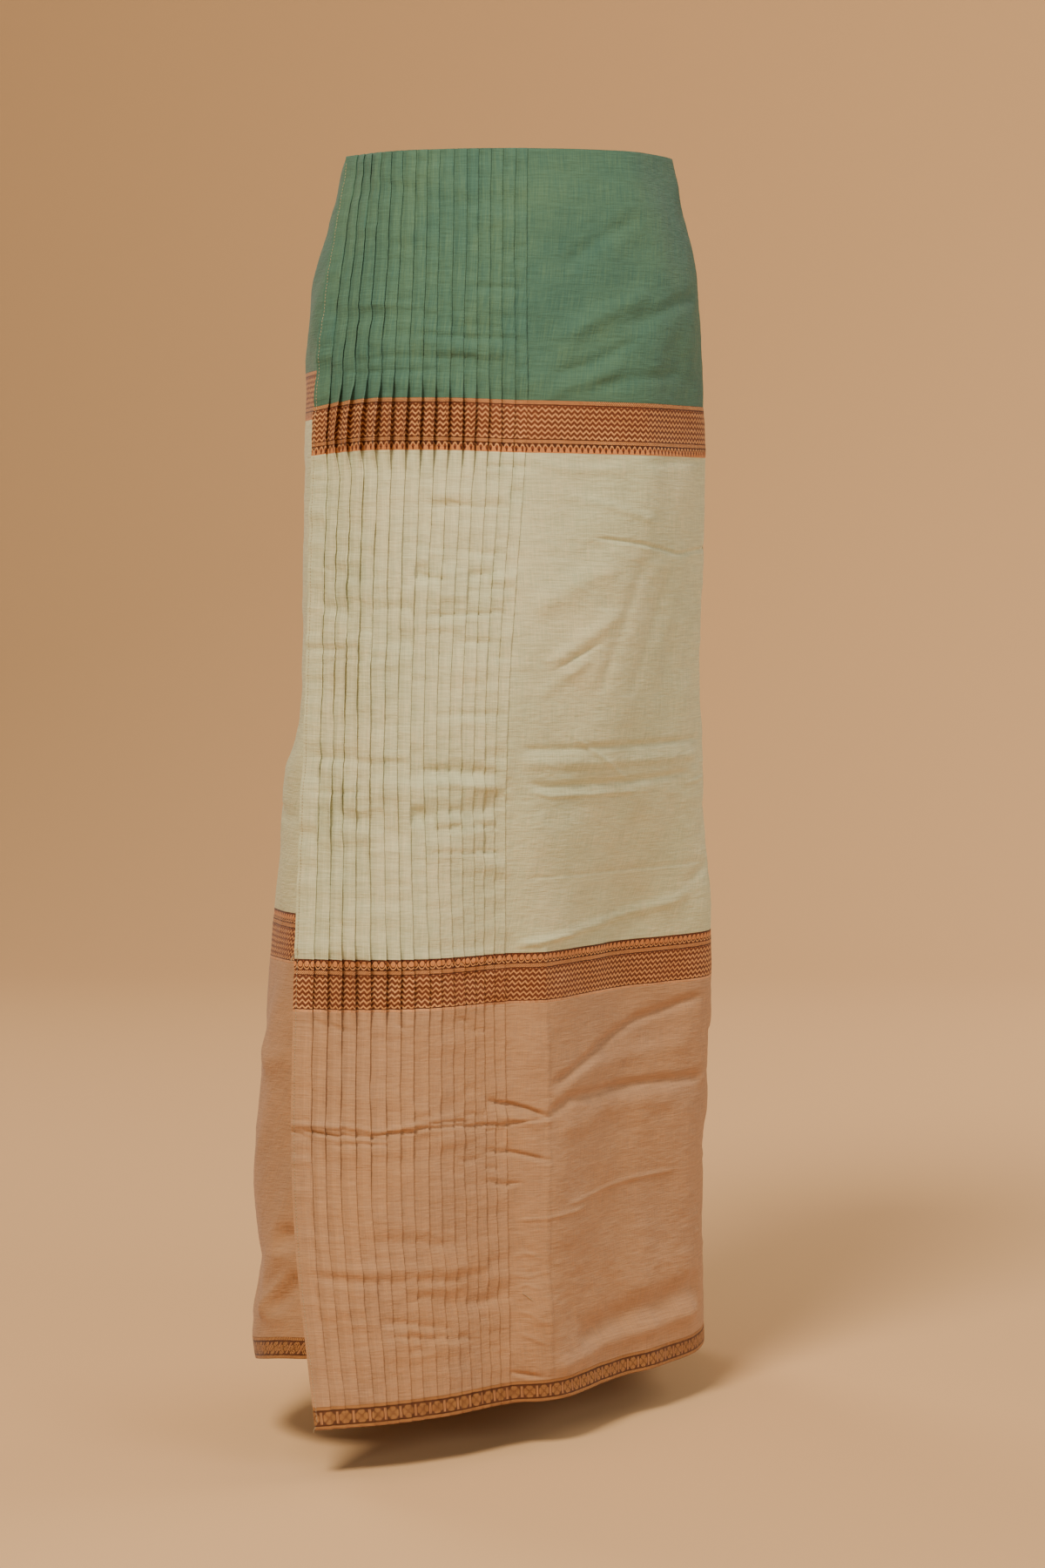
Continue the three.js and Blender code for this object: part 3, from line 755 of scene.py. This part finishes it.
def cloth_row(stretch, level, look):
    """One row of a stretch: its points, how far along the cut cloth each lies, and how far folded
    layers back it, for the painted shade of light through the thin cloth.
    """
    marks = WRAP.marks(level)
    scale = marks["fold"] / PANEL
    edges = fold_edges(level, look.unevenness) * scale
    along, height, pressed, painted_layer_shade = pleat_row(level, look.unevenness)
    along = along * scale
    cut = np.concatenate([[0], np.cumsum(np.hypot(np.diff(along), np.diff(pressed)))])
    if stretch != "pleats":
        plain = PLAIN[stretch]
        # The front stretch starts at the panel's last point, under the last fold
        taken_up = cut[-1] - along[-1]
        start = along[-1] if stretch == "front" else marks[plain["start"]]
        foot = height[-1] if stretch == "front" else 0.0
        length = marks[plain["end"]] - start
        share = np.linspace(0, 1, plain["columns"] + 1) ** plain["crowd"]
        along = start + length * share
        height = drape_height(stretch, share, level, length)
        height += foot * np.exp(-(((along - start) / 3) ** 2))
        cut = taken_up + along
        # Plain cloth takes a middle share of the painted shade of light through the thin cloth
        painted_layer_shade = np.full_like(along, 0.35)
    height = height + relief(along, level, marks, edges, look)
    if stretch == "pleats":
        inside = (look.edge_hem / MM - along) / EDGE_HEM_STEP + 1
        height = height + EDGE_HEM_RISE * np.clip(inside, 0, 1)
    points = WRAP.place(level, along, height)
    return points * MM, np.stack([cut, np.full_like(cut, level)], 1) * MM, painted_layer_shade


def placed(name, data):
    """A new object in the scene."""
    piece = bpy.data.objects.new(name, data)
    bpy.context.scene.collection.objects.link(piece)
    return piece


def cloth_piece(name, rows, material, thickness):
    """A thin sheet through rows of points. Its UV map is the cut cloth in metres, and an attribute
    on its points says where folded layers lie behind it, which the material turns into painted
    shade."""
    points, cloth, painted_layer_shade = (np.array(part) for part in zip(*rows))
    corner = np.arange(painted_layer_shade.size).reshape(painted_layer_shade.shape)
    faces = np.stack(
        [corner[:-1, :-1], corner[1:, :-1], corner[1:, 1:], corner[:-1, 1:]], -1
    ).reshape(-1, 4)
    mesh = bpy.data.meshes.new(name)
    mesh.from_pydata(points.reshape(-1, 3).tolist(), [], faces.tolist())
    layer = mesh.uv_layers.new(name="cloth")
    layer.uv.foreach_set("vector", cloth.reshape(-1, 2)[faces.ravel()].astype(np.float32).ravel())
    # The share of folded layers behind each point, which the material paints as shade and light
    attribute = mesh.attributes.new("painted_layer_shade", "FLOAT", "POINT")
    attribute.data.foreach_set("value", painted_layer_shade.ravel().astype(np.float32))
    mesh.polygons.foreach_set("use_smooth", [True] * len(faces))
    mesh.materials.append(material)
    piece = placed(name, mesh)
    shell = piece.modifiers.new("Cloth thickness", "SOLIDIFY")
    shell.thickness = thickness
    shell.offset = 0
    # Large faces set the shading, so that a piece's thin rim draws no line beside its neighbour
    even = piece.modifiers.new("Even shading", "WEIGHTED_NORMAL")
    even.weight = 100
    return piece


def weave_zone(zone, top, foot, material):
    """One woven zone as a piece for each stretch, each in place of its solid."""
    look = bpy.context.scene.dhoti_cloth
    for stretch in STRETCHES:
        levels = row_levels(stretch, top, foot)
        rows = [cloth_row(stretch, level, look) for level in levels]
        piece = cloth_piece(f"{stretch}_{zone}_cloth", rows, material, look.thickness)
        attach(piece, BODY)
        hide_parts(f"{stretch}_{zone}")


def add(tree, kind, links=None, **settings):
    """Adds a node with its settings, and links or sets each named or numbered input."""
    node = tree.nodes.new(kind)
    for key, value in settings.items():
        setattr(node, key, value)
    for key, source in (links or {}).items():
        if isinstance(source, bpy.types.Node):
            source = source.outputs[0]
        if isinstance(source, bpy.types.NodeSocket):
            tree.links.new(source, node.inputs[key])
        else:
            node.inputs[key].default_value = source
    return node


def opaque(value):
    return (*value, 1.0)


def empty_material(name):
    material = bpy.data.materials.new(name)
    material.use_nodes = True
    material.node_tree.nodes.clear()
    return material


MATH = "ShaderNodeMath"
MIX = "ShaderNodeMix"
NOISE = "ShaderNodeTexNoise"

# Streaks of uneven handspun yarn, as their usual length and width on the cloth in mm. The yarn
# itself, about 0.45 mm apart, is too fine to render, so the shortest streaks are drawn 1 mm wide.
WEFT = (16, 1.0)
WARP = (1.0, 22)
SLUB = (60, 1.5)
CRINKLE = (9, 3.6)


def weave_surface(tree, base, cast, roughness, relief_mm):
    """Plain-weave cotton over a base colour: uneven yarn in the colour and in the bump, a cast
    towards the warp's colour, and a painted shade for light through the thin cloth: a darker tone
    where a single layer lets the shade behind it show and a paler one where folded layers back it."""
    cloth = add(tree, "ShaderNodeUVMap", uv_map="cloth")
    streaks = [
        add(
            tree,
            NOISE,
            {
                "Vector": add(
                    tree,
                    "ShaderNodeVectorMath",
                    {0: cloth, 1: (1 / (wide * MM), 1 / (high * MM), 1)},
                    operation="MULTIPLY",
                ),
                "Scale": 1.0,
                "Detail": 2.0,
            },
        )
        for wide, high in (WEFT, WARP, SLUB, CRINKLE)
    ]
    weft, warp, slub, crinkle = streaks
    cloud = add(tree, NOISE, {"Vector": cloth, "Scale": 9.0, "Detail": 3.0, "Roughness": 0.6})
    threads = add(tree, MATH, {0: weft, 1: warp}, operation="ADD")
    uneven = add(tree, MATH, {0: slub, 1: 0.7, 2: threads}, operation="MULTIPLY_ADD")
    uneven = add(tree, MATH, {0: cloud, 1: 0.7, 2: uneven}, operation="MULTIPLY_ADD")
    tone = add(
        tree,
        "ShaderNodeMapRange",
        {"Value": uneven, "From Min": 1.3, "From Max": 2.1, "To Min": 0.8, "To Max": 1.2},
    )
    # Painted shade and light standing in for light through the thin cloth, from the share of
    # folded layers behind each point: 5.5% darker on a single layer, 3% paler where folded layers
    # back it
    painted_layer_shade = add(tree, "ShaderNodeAttribute", attribute_name="painted_layer_shade").outputs["Fac"]
    painted_layer_tone = add(tree, MATH, {0: painted_layer_shade, 1: 0.085, 2: 0.945}, operation="MULTIPLY_ADD")
    tone = add(tree, MATH, {0: tone, 1: painted_layer_tone}, operation="MULTIPLY")
    casting = add(
        tree,
        "ShaderNodeMapRange",
        {
            "Value": add(tree, MATH, {0: cloud, 1: warp}, operation="ADD"),
            "From Min": 0.8,
            "From Max": 1.25,
            "To Min": 0.0,
            "To Max": 0.55,
        },
    )
    dyed = add(tree, MIX, {0: casting, 6: base, 7: opaque(cast)}, data_type="RGBA")
    woven = add(
        tree,
        "ShaderNodeVectorMath",
        {0: dyed.outputs[2], 1: tone},
        operation="MULTIPLY",
    )
    height = add(tree, MATH, {0: crinkle, 1: 2.4, 2: threads}, operation="MULTIPLY_ADD")
    bump = add(tree, "ShaderNodeBump", {"Height": height, "Distance": relief_mm * MM})
    surface = add(
        tree,
        "ShaderNodeBsdfPrincipled",
        {
            "Base Color": woven,
            "Roughness": roughness,
            "Normal": bump,
            "Sheen Weight": 0.1,
            "Sheen Roughness": 0.5,
            "Specular IOR Level": 0.2,
        },
    )
    add(tree, "ShaderNodeOutputMaterial", {"Surface": surface})


def handloom_cotton(name, dye, cast):
    """Plain-weave handloom cotton, dyed in the yarn: quite matt, with the dry crosshatch of
    uneven yarn, long slubs along the weft and a slight change of colour where the warp shows."""
    material = empty_material(name)
    weave_surface(material.node_tree, opaque(dye), cast, 0.9, 0.3)
    return material


# The woven figures in mm: the pitch of a rope's strokes, the zigzags' period, row pitch, swing
# and line, and the periods of buds, arches and discs
ROPE = 1.75
ZIGZAG_PERIOD = 5.3
ZIGZAG_PITCH = 4.4
ZIGZAG_SWING = 2.7
ZIGZAG_LINE = 1.7
BUDS = 5.4
ARCHES = 5.1
DISCS = 13.0

# Yarn colours of the figures
FLOSS = opaque(linear("#dc9e60"))
MARIGOLD = opaque(linear("#d98f52"))
BARK = opaque(linear("#43200f"))
RUST = opaque(linear("#7d4222"))
OCHRE = opaque(linear("#cd9352"))


def stripe(tree, down, top, foot):
    """A woven stripe between two distances below the border's top."""
    half = (foot - top) / 2
    return add(tree, MATH, {0: down, 1: top + half, 2: half}, operation="COMPARE")


def rope(tree, along, down, top, foot, lean):
    """A twisted rope: short strokes that lean, between two levels."""
    slanted = add(tree, MATH, {0: down, 1: lean, 2: along}, operation="MULTIPLY_ADD")
    place = add(tree, MATH, {0: slanted, 1: ROPE / 2}, operation="PINGPONG")
    stroke = add(tree, MATH, {0: place, 1: ROPE * 0.3}, operation="LESS_THAN")
    return add(tree, MATH, {0: stroke, 1: stripe(tree, down, top, foot)}, operation="MULTIPLY")


def zigzag(tree, along, down, top, rows):
    """Rows of zigzag, one pitch apart."""
    swing = add(tree, MATH, {0: along, 1: ZIGZAG_PERIOD / 2}, operation="PINGPONG")
    slope = 2 * ZIGZAG_SWING / ZIGZAG_PERIOD
    bent = add(tree, MATH, {0: swing, 1: slope, 2: down}, operation="MULTIPLY_ADD")
    place = add(tree, MATH, {0: bent, 1: top}, operation="SUBTRACT")
    place = add(tree, MATH, {0: place, 1: ZIGZAG_PITCH / 2}, operation="PINGPONG")
    line = add(tree, MATH, {0: place, 1: ZIGZAG_LINE / 2}, operation="LESS_THAN")
    field = stripe(tree, down, top, top + rows * ZIGZAG_PITCH)
    return add(tree, MATH, {0: line, 1: field}, operation="MULTIPLY")


def ovals(tree, along, down, middle, period, wide, high):
    """A row of ovals, half as wide and half as high as said."""
    across = add(tree, MATH, {0: along, 1: period / 2}, operation="PINGPONG")
    fall = add(tree, MATH, {0: down, 1: middle}, operation="SUBTRACT")
    place = add(
        tree,
        "ShaderNodeVectorMath",
        {
            0: add(tree, "ShaderNodeCombineXYZ", {0: across, 1: fall}),
            1: (1 / wide, 1 / high, 0),
        },
        operation="MULTIPLY",
    )
    reach = add(tree, "ShaderNodeVectorMath", {0: place}, operation="LENGTH").outputs["Value"]
    return add(tree, MATH, {0: reach, 1: 1.0}, operation="LESS_THAN")


def upper_figures(tree, along, down):
    """Rope, six rows of zigzag, rope, then arches with notched lobes on the sage side."""
    between = add(tree, MATH, {0: along, 1: ARCHES / 2}, operation="ADD")
    return [
        (rope(tree, along, down, 0.2, 3.1, -1.0), FLOSS),
        (stripe(tree, down, 3.3, 4.1), BARK),
        (zigzag(tree, along, down, 4.3, 6), FLOSS),
        (stripe(tree, down, 30.8, 31.5), BARK),
        (rope(tree, along, down, 31.6, 34.2, -1.0), FLOSS),
        (stripe(tree, down, 34.3, 42), BARK),
        (ovals(tree, along, down, 42.2, ARCHES, 2.5, 7.2), FLOSS),
        (ovals(tree, along, down, 42.6, ARCHES, 1.9, 6.1), RUST),
        (ovals(tree, between, down, 42.6, ARCHES, 2.0, 5.0), MARIGOLD),
        (ovals(tree, along, down, 39.4, ARCHES, 0.8, 0.9), BARK),
        (ovals(tree, along, down, 40.4, ARCHES, 0.4, 1.6), BARK),
        (stripe(tree, down, 41.3, 42.2), MARIGOLD),
    ]


def lower_figures(tree, along, down):
    """Buds over a scallop on the sage side, rope, six rows of zigzag and a plain stripe."""
    between = add(tree, MATH, {0: along, 1: BUDS / 2}, operation="ADD")
    return [
        (stripe(tree, down, 0, 8.8), BARK),
        (ovals(tree, along, down, 3.9, BUDS, 2.9, 4.4), FLOSS),
        (ovals(tree, along, down, 3.2, BUDS, 2.4, 4.1), BARK),
        (stripe(tree, down, -0.5, 3.6), BARK),
        (ovals(tree, along, down, 3.7, BUDS, 1.95, 2.3), MARIGOLD),
        (ovals(tree, between, down, 1.5, BUDS, 0.5, 1.0), RUST),
        (rope(tree, along, down, 9.1, 12.0, 1.0), FLOSS),
        (stripe(tree, down, 12.2, 12.9), BARK),
        (zigzag(tree, along, down, 13.0, 6), FLOSS),
        (stripe(tree, down, 39.2, 40.0), BARK),
        (stripe(tree, down, 40.0, 42.5), opaque(linear("#dba270"))),
    ]


def hem_figures(tree, along, down):
    """Crossed and hatched discs between pairs of bars, with a rope at each edge."""
    wide = add(tree, MATH, {0: along, 1: DISCS / 2}, operation="PINGPONG")
    fall = add(tree, MATH, {0: down, 1: 9.1}, operation="SUBTRACT")
    tall = add(tree, MATH, {0: fall}, operation="ABSOLUTE")
    disc = ovals(tree, along, down, 9.1, DISCS, 5.0, 5.2)
    around = add(tree, MATH, {0: wide, 1: tall}, operation="ADD")
    hatch = add(tree, MATH, {0: around, 1: 0.85}, operation="PINGPONG")
    hatch = add(tree, MATH, {0: hatch, 1: 0.34}, operation="LESS_THAN")
    apart = add(tree, MATH, {0: wide, 1: tall}, operation="SUBTRACT")
    cross = add(tree, MATH, {0: apart, 1: 0.0, 2: 0.4}, operation="COMPARE")
    lines = add(tree, MATH, {0: hatch, 1: cross}, operation="MAXIMUM")
    bar = add(tree, MATH, {0: wide, 1: 5.95, 2: 0.3}, operation="COMPARE")
    return [
        (rope(tree, along, down, 0.2, 2.6, -1.0), OCHRE),
        (stripe(tree, down, 2.8, 3.6), BARK),
        (disc, OCHRE),
        (add(tree, MATH, {0: disc, 1: lines}, operation="MULTIPLY"), BARK),
        (add(tree, MATH, {0: bar, 1: stripe(tree, down, 4.4, 13.8)}, operation="MULTIPLY"), FLOSS),
        (stripe(tree, down, 14.4, 15.2), BARK),
        (rope(tree, along, down, 15.3, 17.7, 1.0), OCHRE),
    ]


def figured_cotton(name, figures, ground, top):
    """Handloom cotton with figures in a thicker unspun weft, whose floats stand up on the real
    cloth;
    here the whole cloth is a little less rough than the plain fields, so that it catches the light
    a little, and the figures' outlines waver by a thread or so."""
    material = empty_material(name)
    tree = material.node_tree
    cloth = add(tree, "ShaderNodeUVMap", uv_map="cloth")
    waver = add(tree, NOISE, {"Vector": cloth, "Scale": 420.0, "Detail": 1.0}).outputs["Color"]
    moved = add(
        tree,
        "ShaderNodeVectorMath",
        {0: waver, 1: (0.7 * MM, 0.7 * MM, 0), 2: cloth},
        operation="MULTIPLY_ADD",
    )
    part = add(tree, "ShaderNodeSeparateXYZ", {0: moved})
    along = add(tree, MATH, {0: part.outputs[0], 1: 1 / MM}, operation="MULTIPLY")
    below = add(tree, MATH, {0: top * MM + 0.35 * MM, 1: part.outputs[1]}, operation="SUBTRACT")
    down = add(tree, MATH, {0: below, 1: 1 / MM}, operation="MULTIPLY")
    woven = opaque(ground)
    for mask, yarn in figures(tree, along, down):
        woven = add(tree, MIX, {0: mask, 6: woven, 7: yarn}, data_type="RGBA").outputs[2]
    weave_surface(tree, woven, ground, 0.75, 0.35)
    return material


class DhotiCloth(bpy.types.PropertyGroup):
    """How the cloth is made and creased."""

    thickness: FloatProperty(
        name="Thickness",
        description="Thickness of the cotton",
        default=0.36 * MM,
        min=0.1 * MM,
        max=1.0 * MM,
        subtype="DISTANCE",
        unit="LENGTH",
    )
    edge_hem: FloatProperty(
        name="Edge hem",
        description="Width of the narrow stitched hem along the free edge",
        default=3.0 * MM,
        min=1.0 * MM,
        max=8.0 * MM,
        subtype="DISTANCE",
        unit="LENGTH",
    )
    stitch: FloatProperty(
        name="Stitch",
        description="Length of one stitch and the gap after it",
        default=2.6 * MM,
        min=1.5 * MM,
        max=6.0 * MM,
        subtype="DISTANCE",
        unit="LENGTH",
    )
    unevenness: FloatProperty(
        name="Uneven pleats",
        description="How far the fold edges wander, as a share of their usual wander",
        default=1.0,
        min=0.0,
        max=2.0,
        subtype="FACTOR",
    )
    crinkle: FloatProperty(
        name="Crinkle",
        description="Height of the fine crinkles and swells, as a share of their usual height",
        default=1.0,
        min=0.0,
        max=2.0,
        subtype="FACTOR",
    )
    crease_depth: FloatProperty(
        name="Crease depth",
        description="Depth of the creases, as a share of their usual depth",
        default=1.0,
        min=0.0,
        max=2.0,
        subtype="FACTOR",
    )


def yarn_colour(name, description, code):
    return FloatVectorProperty(
        name=name,
        description=description,
        default=linear(code),
        subtype="COLOR",
        min=0,
        max=1,
    )


class DhotiColours(bpy.types.PropertyGroup):
    """The dyes of the yarn."""

    green: yarn_colour("Green field", "Yarn of the field at the hips", "#456a5a")
    green_warp: yarn_colour("Green warp", "Warp that shows in the green field", "#567052")
    sage: yarn_colour("Sage field", "Yarn of the field over the thighs", "#c2c49b")
    sage_warp: yarn_colour("Sage warp", "Warp that shows in the sage field", "#c6ba92")
    tan: yarn_colour("Tan field", "Yarn of the field below the knees", "#b08966")
    tan_warp: yarn_colour("Tan warp", "Warp that shows in the tan field", "#a87d53")
    border: yarn_colour("Border ground", "Yarn behind the figures of the wide borders", "#69371d")
    hem_border: yarn_colour("Hem border ground", "Yarn behind the discs of the hem", "#5f3a24")
    thread: yarn_colour("Sewing thread", "Thread of the edge hem and loose ends", "#b8a67e")


class DhotiStage(bpy.types.PropertyGroup):
    """Where the camera stands and how far the floor lies below the hem."""

    eye: FloatVectorProperty(
        name="Camera",
        description="The camera's place, from the waist's centre",
        default=(0.011, -3.1, -0.3),
        subtype="XYZ",
        unit="LENGTH",
    )
    look_down: FloatProperty(
        name="Look down",
        description="How far the camera is tipped below the horizon",
        default=math.atan(0.3 / 4.25),
        subtype="ANGLE",
        unit="ROTATION",
    )
    lens: FloatProperty(
        name="Lens",
        description="Focal length on a frame 36 mm tall",
        default=85.0,
        min=20,
        max=200,
    )
    floor_gap: FloatProperty(
        name="Floor below hem",
        description="Height of the hem above the floor",
        default=40 * MM,
        subtype="DISTANCE",
        unit="LENGTH",
    )


class DHOTI_OT_fields(bpy.types.Operator):
    """Weave the green, sage and tan fields"""

    bl_idname = "dhoti.fields"
    bl_label = "Weave Fields"

    def execute(self, context):
        dye = context.scene.dhoti_colours
        for zone, top, foot in (
            ("green", WAIST, UPPER_BORDER),
            ("sage", SAGE_TOP, LOWER_BORDER),
            ("tan", TAN_TOP, HEM_BORDER),
        ):
            cotton = handloom_cotton(
                f"Handloom cotton, {zone}", getattr(dye, zone), getattr(dye, f"{zone}_warp")
            )
            weave_zone(zone, top, foot, cotton)
        return {"FINISHED"}


class DHOTI_OT_borders(bpy.types.Operator):
    """Weave the two wide borders and the hem border"""

    bl_idname = "dhoti.borders"
    bl_label = "Weave Borders"

    def execute(self, context):
        dye = context.scene.dhoti_colours
        for zone, top, foot, figures, ground in (
            ("upper_border", UPPER_BORDER, SAGE_TOP, upper_figures, dye.border),
            ("lower_border", LOWER_BORDER, TAN_TOP, lower_figures, dye.border),
            ("hem_border", HEM_BORDER, HEM, hem_figures, dye.hem_border),
        ):
            cotton = figured_cotton(f"Figured cotton, {zone}", figures, ground, top)
            weave_zone(zone, top, foot, cotton)
        return {"FINISHED"}


def spun_thread(colour):
    """Spun cotton sewing thread: two dull plies of uneven tone, with a fuzz that a soft sheen
    stands for."""
    material = empty_material("Spun cotton thread")
    tree = material.node_tree
    plies = add(tree, NOISE, {"Scale": 900.0, "Detail": 1.0})
    shaded = opaque([c * 0.6 for c in colour])
    tone = add(tree, MIX, {0: plies, 6: opaque(colour), 7: shaded}, data_type="RGBA")
    surface = add(
        tree,
        "ShaderNodeBsdfPrincipled",
        {"Base Color": tone.outputs[2], "Roughness": 0.85, "Sheen Weight": 0.15},
    )
    add(tree, "ShaderNodeOutputMaterial", {"Surface": surface})
    return material


def seam(look):
    """The running stitches along the free edge, each bowed a little off the cloth."""
    stitch = look.stitch / MM
    inwards = look.edge_hem / MM - STITCH_INSET
    bow = THREAD * np.array([0.0, 0.75, 0.75, 0.0])
    tubes = []
    for level in np.arange(WAIST - SEAM_ENDS, HEM + SEAM_ENDS, -stitch):
        levels = level - stitch * STITCH_SHARE * np.linspace(0, 1, len(bow))
        path = [on_edge(z, inwards, look) for z in levels]
        tubes.append((np.array(path) + np.outer(bow, (0, -1, 0)), THREAD))
    return tubes


def loose_ends(look):
    """The loose threads, as smooth curves through their steps."""
    tubes = []
    for end in LOOSE_ENDS:
        start = on_edge(end["level"], end["along"], look)
        path = [start + np.array(step) for step in [(0, -0.2, 0), *end["steps"]]]
        knots = np.arange(len(path))
        fine = np.linspace(0, knots[-1], 4 * knots[-1] + 1)
        path = np.stack([through(knots, [p[k] for p in path], fine) for k in range(3)], 1)
        tubes.append((path, THREAD * 0.8))
    return tubes


def on_edge(level, along, look):
    """A point on the outer face of the cloth, near its free edge or on the plain front."""
    marks = WRAP.marks(level)
    edges = fold_edges(level, look.unevenness) * marks["fold"] / PANEL
    places, heights, _, _ = pleat_row(level, look.unevenness)
    first = edges[0] - PLEAT_DEPTH
    height = np.interp(along, places[:4], heights[:4]) if along < first else 0.0
    at = np.array([along], float)
    height = height + relief(at, level, marks, edges, look)
    lift = look.thickness / MM / 2 + (EDGE_HEM_RISE if along < look.edge_hem / MM else 0)
    return WRAP.place(level, at, height + lift)[0]


def thread_piece(name, tubes, material):
    """Threads as thin tubes along paths in mm."""
    points = []
    faces = []
    sides = THREAD_SIDES
    around = [(math.cos(a), math.sin(a)) for a in np.arange(sides) * 2 * math.pi / sides]
    for path, half in tubes:
        along = np.gradient(path, axis=0)
        along /= np.linalg.norm(along, axis=1, keepdims=True)
        side = np.cross(along, (0, 1, 0))
        side /= np.linalg.norm(side, axis=1, keepdims=True)
        up = np.cross(side, along)
        first = len(points)
        taper = np.full(len(path), half)
        taper[[0, -1]] *= 0.45
        for p, s, n, size in zip(path, side, up, taper):
            points += [tuple((p + size * (c * s + d * n)) * MM) for c, d in around]
        for k in range(len(path) - 1):
            for j in range(sides):
                a = first + sides * k + j
                b = first + sides * k + (j + 1) % sides
                faces.append((a, b, b + sides, a + sides))
        faces.append(tuple(first + j for j in reversed(range(sides))))
        faces.append(tuple(len(points) - sides + j for j in range(sides)))
    mesh = bpy.data.meshes.new(name)
    mesh.from_pydata(points, [], faces)
    mesh.polygons.foreach_set("use_smooth", [True] * len(faces))
    mesh.materials.append(material)
    return placed(name, mesh)


class DHOTI_OT_sewing(bpy.types.Operator):
    """Sew the narrow hem of the free edge and leave its loose threads"""

    bl_idname = "dhoti.sewing"
    bl_label = "Sew Edge Hem"

    def execute(self, context):
        look = context.scene.dhoti_cloth
        cotton = spun_thread(context.scene.dhoti_colours.thread)
        for name, tubes in (("edge_stitches", seam(look)), ("loose_threads", loose_ends(look))):
            threads = thread_piece(name, tubes, cotton)
            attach(threads, BODY)
        return {"FINISHED"}


def paper_sweep(floor_z):
    """A sweep of studio paper: a floor that curves up into a wall behind the cloth. The paper is
    uncoated and matt, so it takes soft shadows and shows no glare."""
    profile = [(PAPER_FRONT, 0.0), (PAPER_BEND, 0.0)]
    for step in range(1, PAPER_STEPS + 1):
        turn = math.radians(90 * step / PAPER_STEPS)
        out = PAPER_BEND + PAPER_RADIUS * math.sin(turn)
        profile.append((out, PAPER_RADIUS - PAPER_RADIUS * math.cos(turn)))
    profile.append((PAPER_BEND + PAPER_RADIUS, PAPER_TOP))
    corners = [(x, y, floor_z + z) for y, z in profile for x in (-PAPER_HALF, PAPER_HALF)]
    faces = [(2 * k, 2 * k + 1, 2 * k + 3, 2 * k + 2) for k in range(len(profile) - 1)]
    sweep = bpy.data.meshes.new("paper_sweep")
    sweep.from_pydata(corners, [], faces)
    sweep.polygons.foreach_set("use_smooth", [True] * len(faces))
    paper = empty_material("Matt studio paper")
    surface = add(
        paper.node_tree,
        "ShaderNodeBsdfPrincipled",
        {"Base Color": opaque(linear("#e0b582")), "Roughness": 0.95, "Specular IOR Level": 0.1},
    )
    add(paper.node_tree, "ShaderNodeOutputMaterial", {"Surface": surface})
    sweep.materials.append(paper)
    placed("floor", sweep)


def soft_lamps():
    """The round area lamps of the studio."""
    for lamp in LAMPS:
        light = bpy.data.lights.new(lamp["name"], "AREA")
        light.shape = "DISK"
        light.size = lamp["size"]
        light.energy = lamp["power"]
        light.color = linear(lamp["tint"])
        holder = placed(lamp["name"], light)
        holder.location = lamp["at"]
        aim = Vector(lamp["aim"]) - holder.location
        holder.rotation_euler = aim.to_track_quat("-Z", "Y").to_euler()


def soft_world():
    """A little warm light from all round."""
    world = bpy.data.worlds.new("Soft studio")
    world.use_nodes = True
    world.node_tree.nodes.clear()
    glow = add(
        world.node_tree,
        "ShaderNodeBackground",
        {"Color": opaque(linear("#fff0df")), "Strength": 0.15},
    )
    add(world.node_tree, "ShaderNodeOutputWorld", {"Surface": glow})
    return world


def standing_camera(stage):
    """The camera, tipped a little towards the floor."""
    lens = bpy.data.cameras.new("camera")
    lens.sensor_fit = "VERTICAL"
    lens.sensor_height = 36
    lens.lens = stage.lens
    camera = placed("camera", lens)
    camera.location = stage.eye
    camera.rotation_euler = (math.pi / 2 - stage.look_down, 0, 0)
    return camera


class DHOTI_OT_stage(bpy.types.Operator):
    """Set up the floor, the lights and the camera"""

    bl_idname = "dhoti.stage"
    bl_label = "Set Stage"

    def execute(self, context):
        stage = context.scene.dhoti_stage
        paper_sweep(HEM * MM - stage.floor_gap)
        soft_lamps()
        context.scene.world = soft_world()
        context.scene.camera = standing_camera(stage)
        return {"FINISHED"}


class DHOTI_PT_panel(bpy.types.Panel):
    """The dhoti's sizes, colours and steps"""

    bl_idname = "DHOTI_PT_panel"
    bl_label = "Wrapped Dhoti"
    bl_space_type = "VIEW_3D"
    bl_region_type = "UI"
    bl_category = "Dhoti"

    def draw(self, context):
        for name, group in GROUPS.items():
            box = self.layout.box()
            for key in group.__annotations__:
                box.prop(getattr(context.scene, name), key)
        for step in STEPS:
            self.layout.operator(step.bl_idname)


STEPS = (DHOTI_OT_stage, DHOTI_OT_fields, DHOTI_OT_borders, DHOTI_OT_sewing)
GROUPS = {"dhoti_cloth": DhotiCloth, "dhoti_colours": DhotiColours, "dhoti_stage": DhotiStage}


def register():
    for cls in (*GROUPS.values(), *STEPS, DHOTI_PT_panel):
        bpy.utils.register_class(cls)
    for name, group in GROUPS.items():
        setattr(bpy.types.Scene, name, PointerProperty(type=group))


def unregister():
    for name in GROUPS:
        delattr(bpy.types.Scene, name)
    for cls in reversed((*GROUPS.values(), *STEPS, DHOTI_PT_panel)):
        bpy.utils.unregister_class(cls)


def main():
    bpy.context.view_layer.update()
    register()
    bpy.ops.dhoti.stage()
    bpy.ops.dhoti.fields()
    bpy.ops.dhoti.borders()
    bpy.ops.dhoti.sewing()


if __name__ == "__main__":
    main()
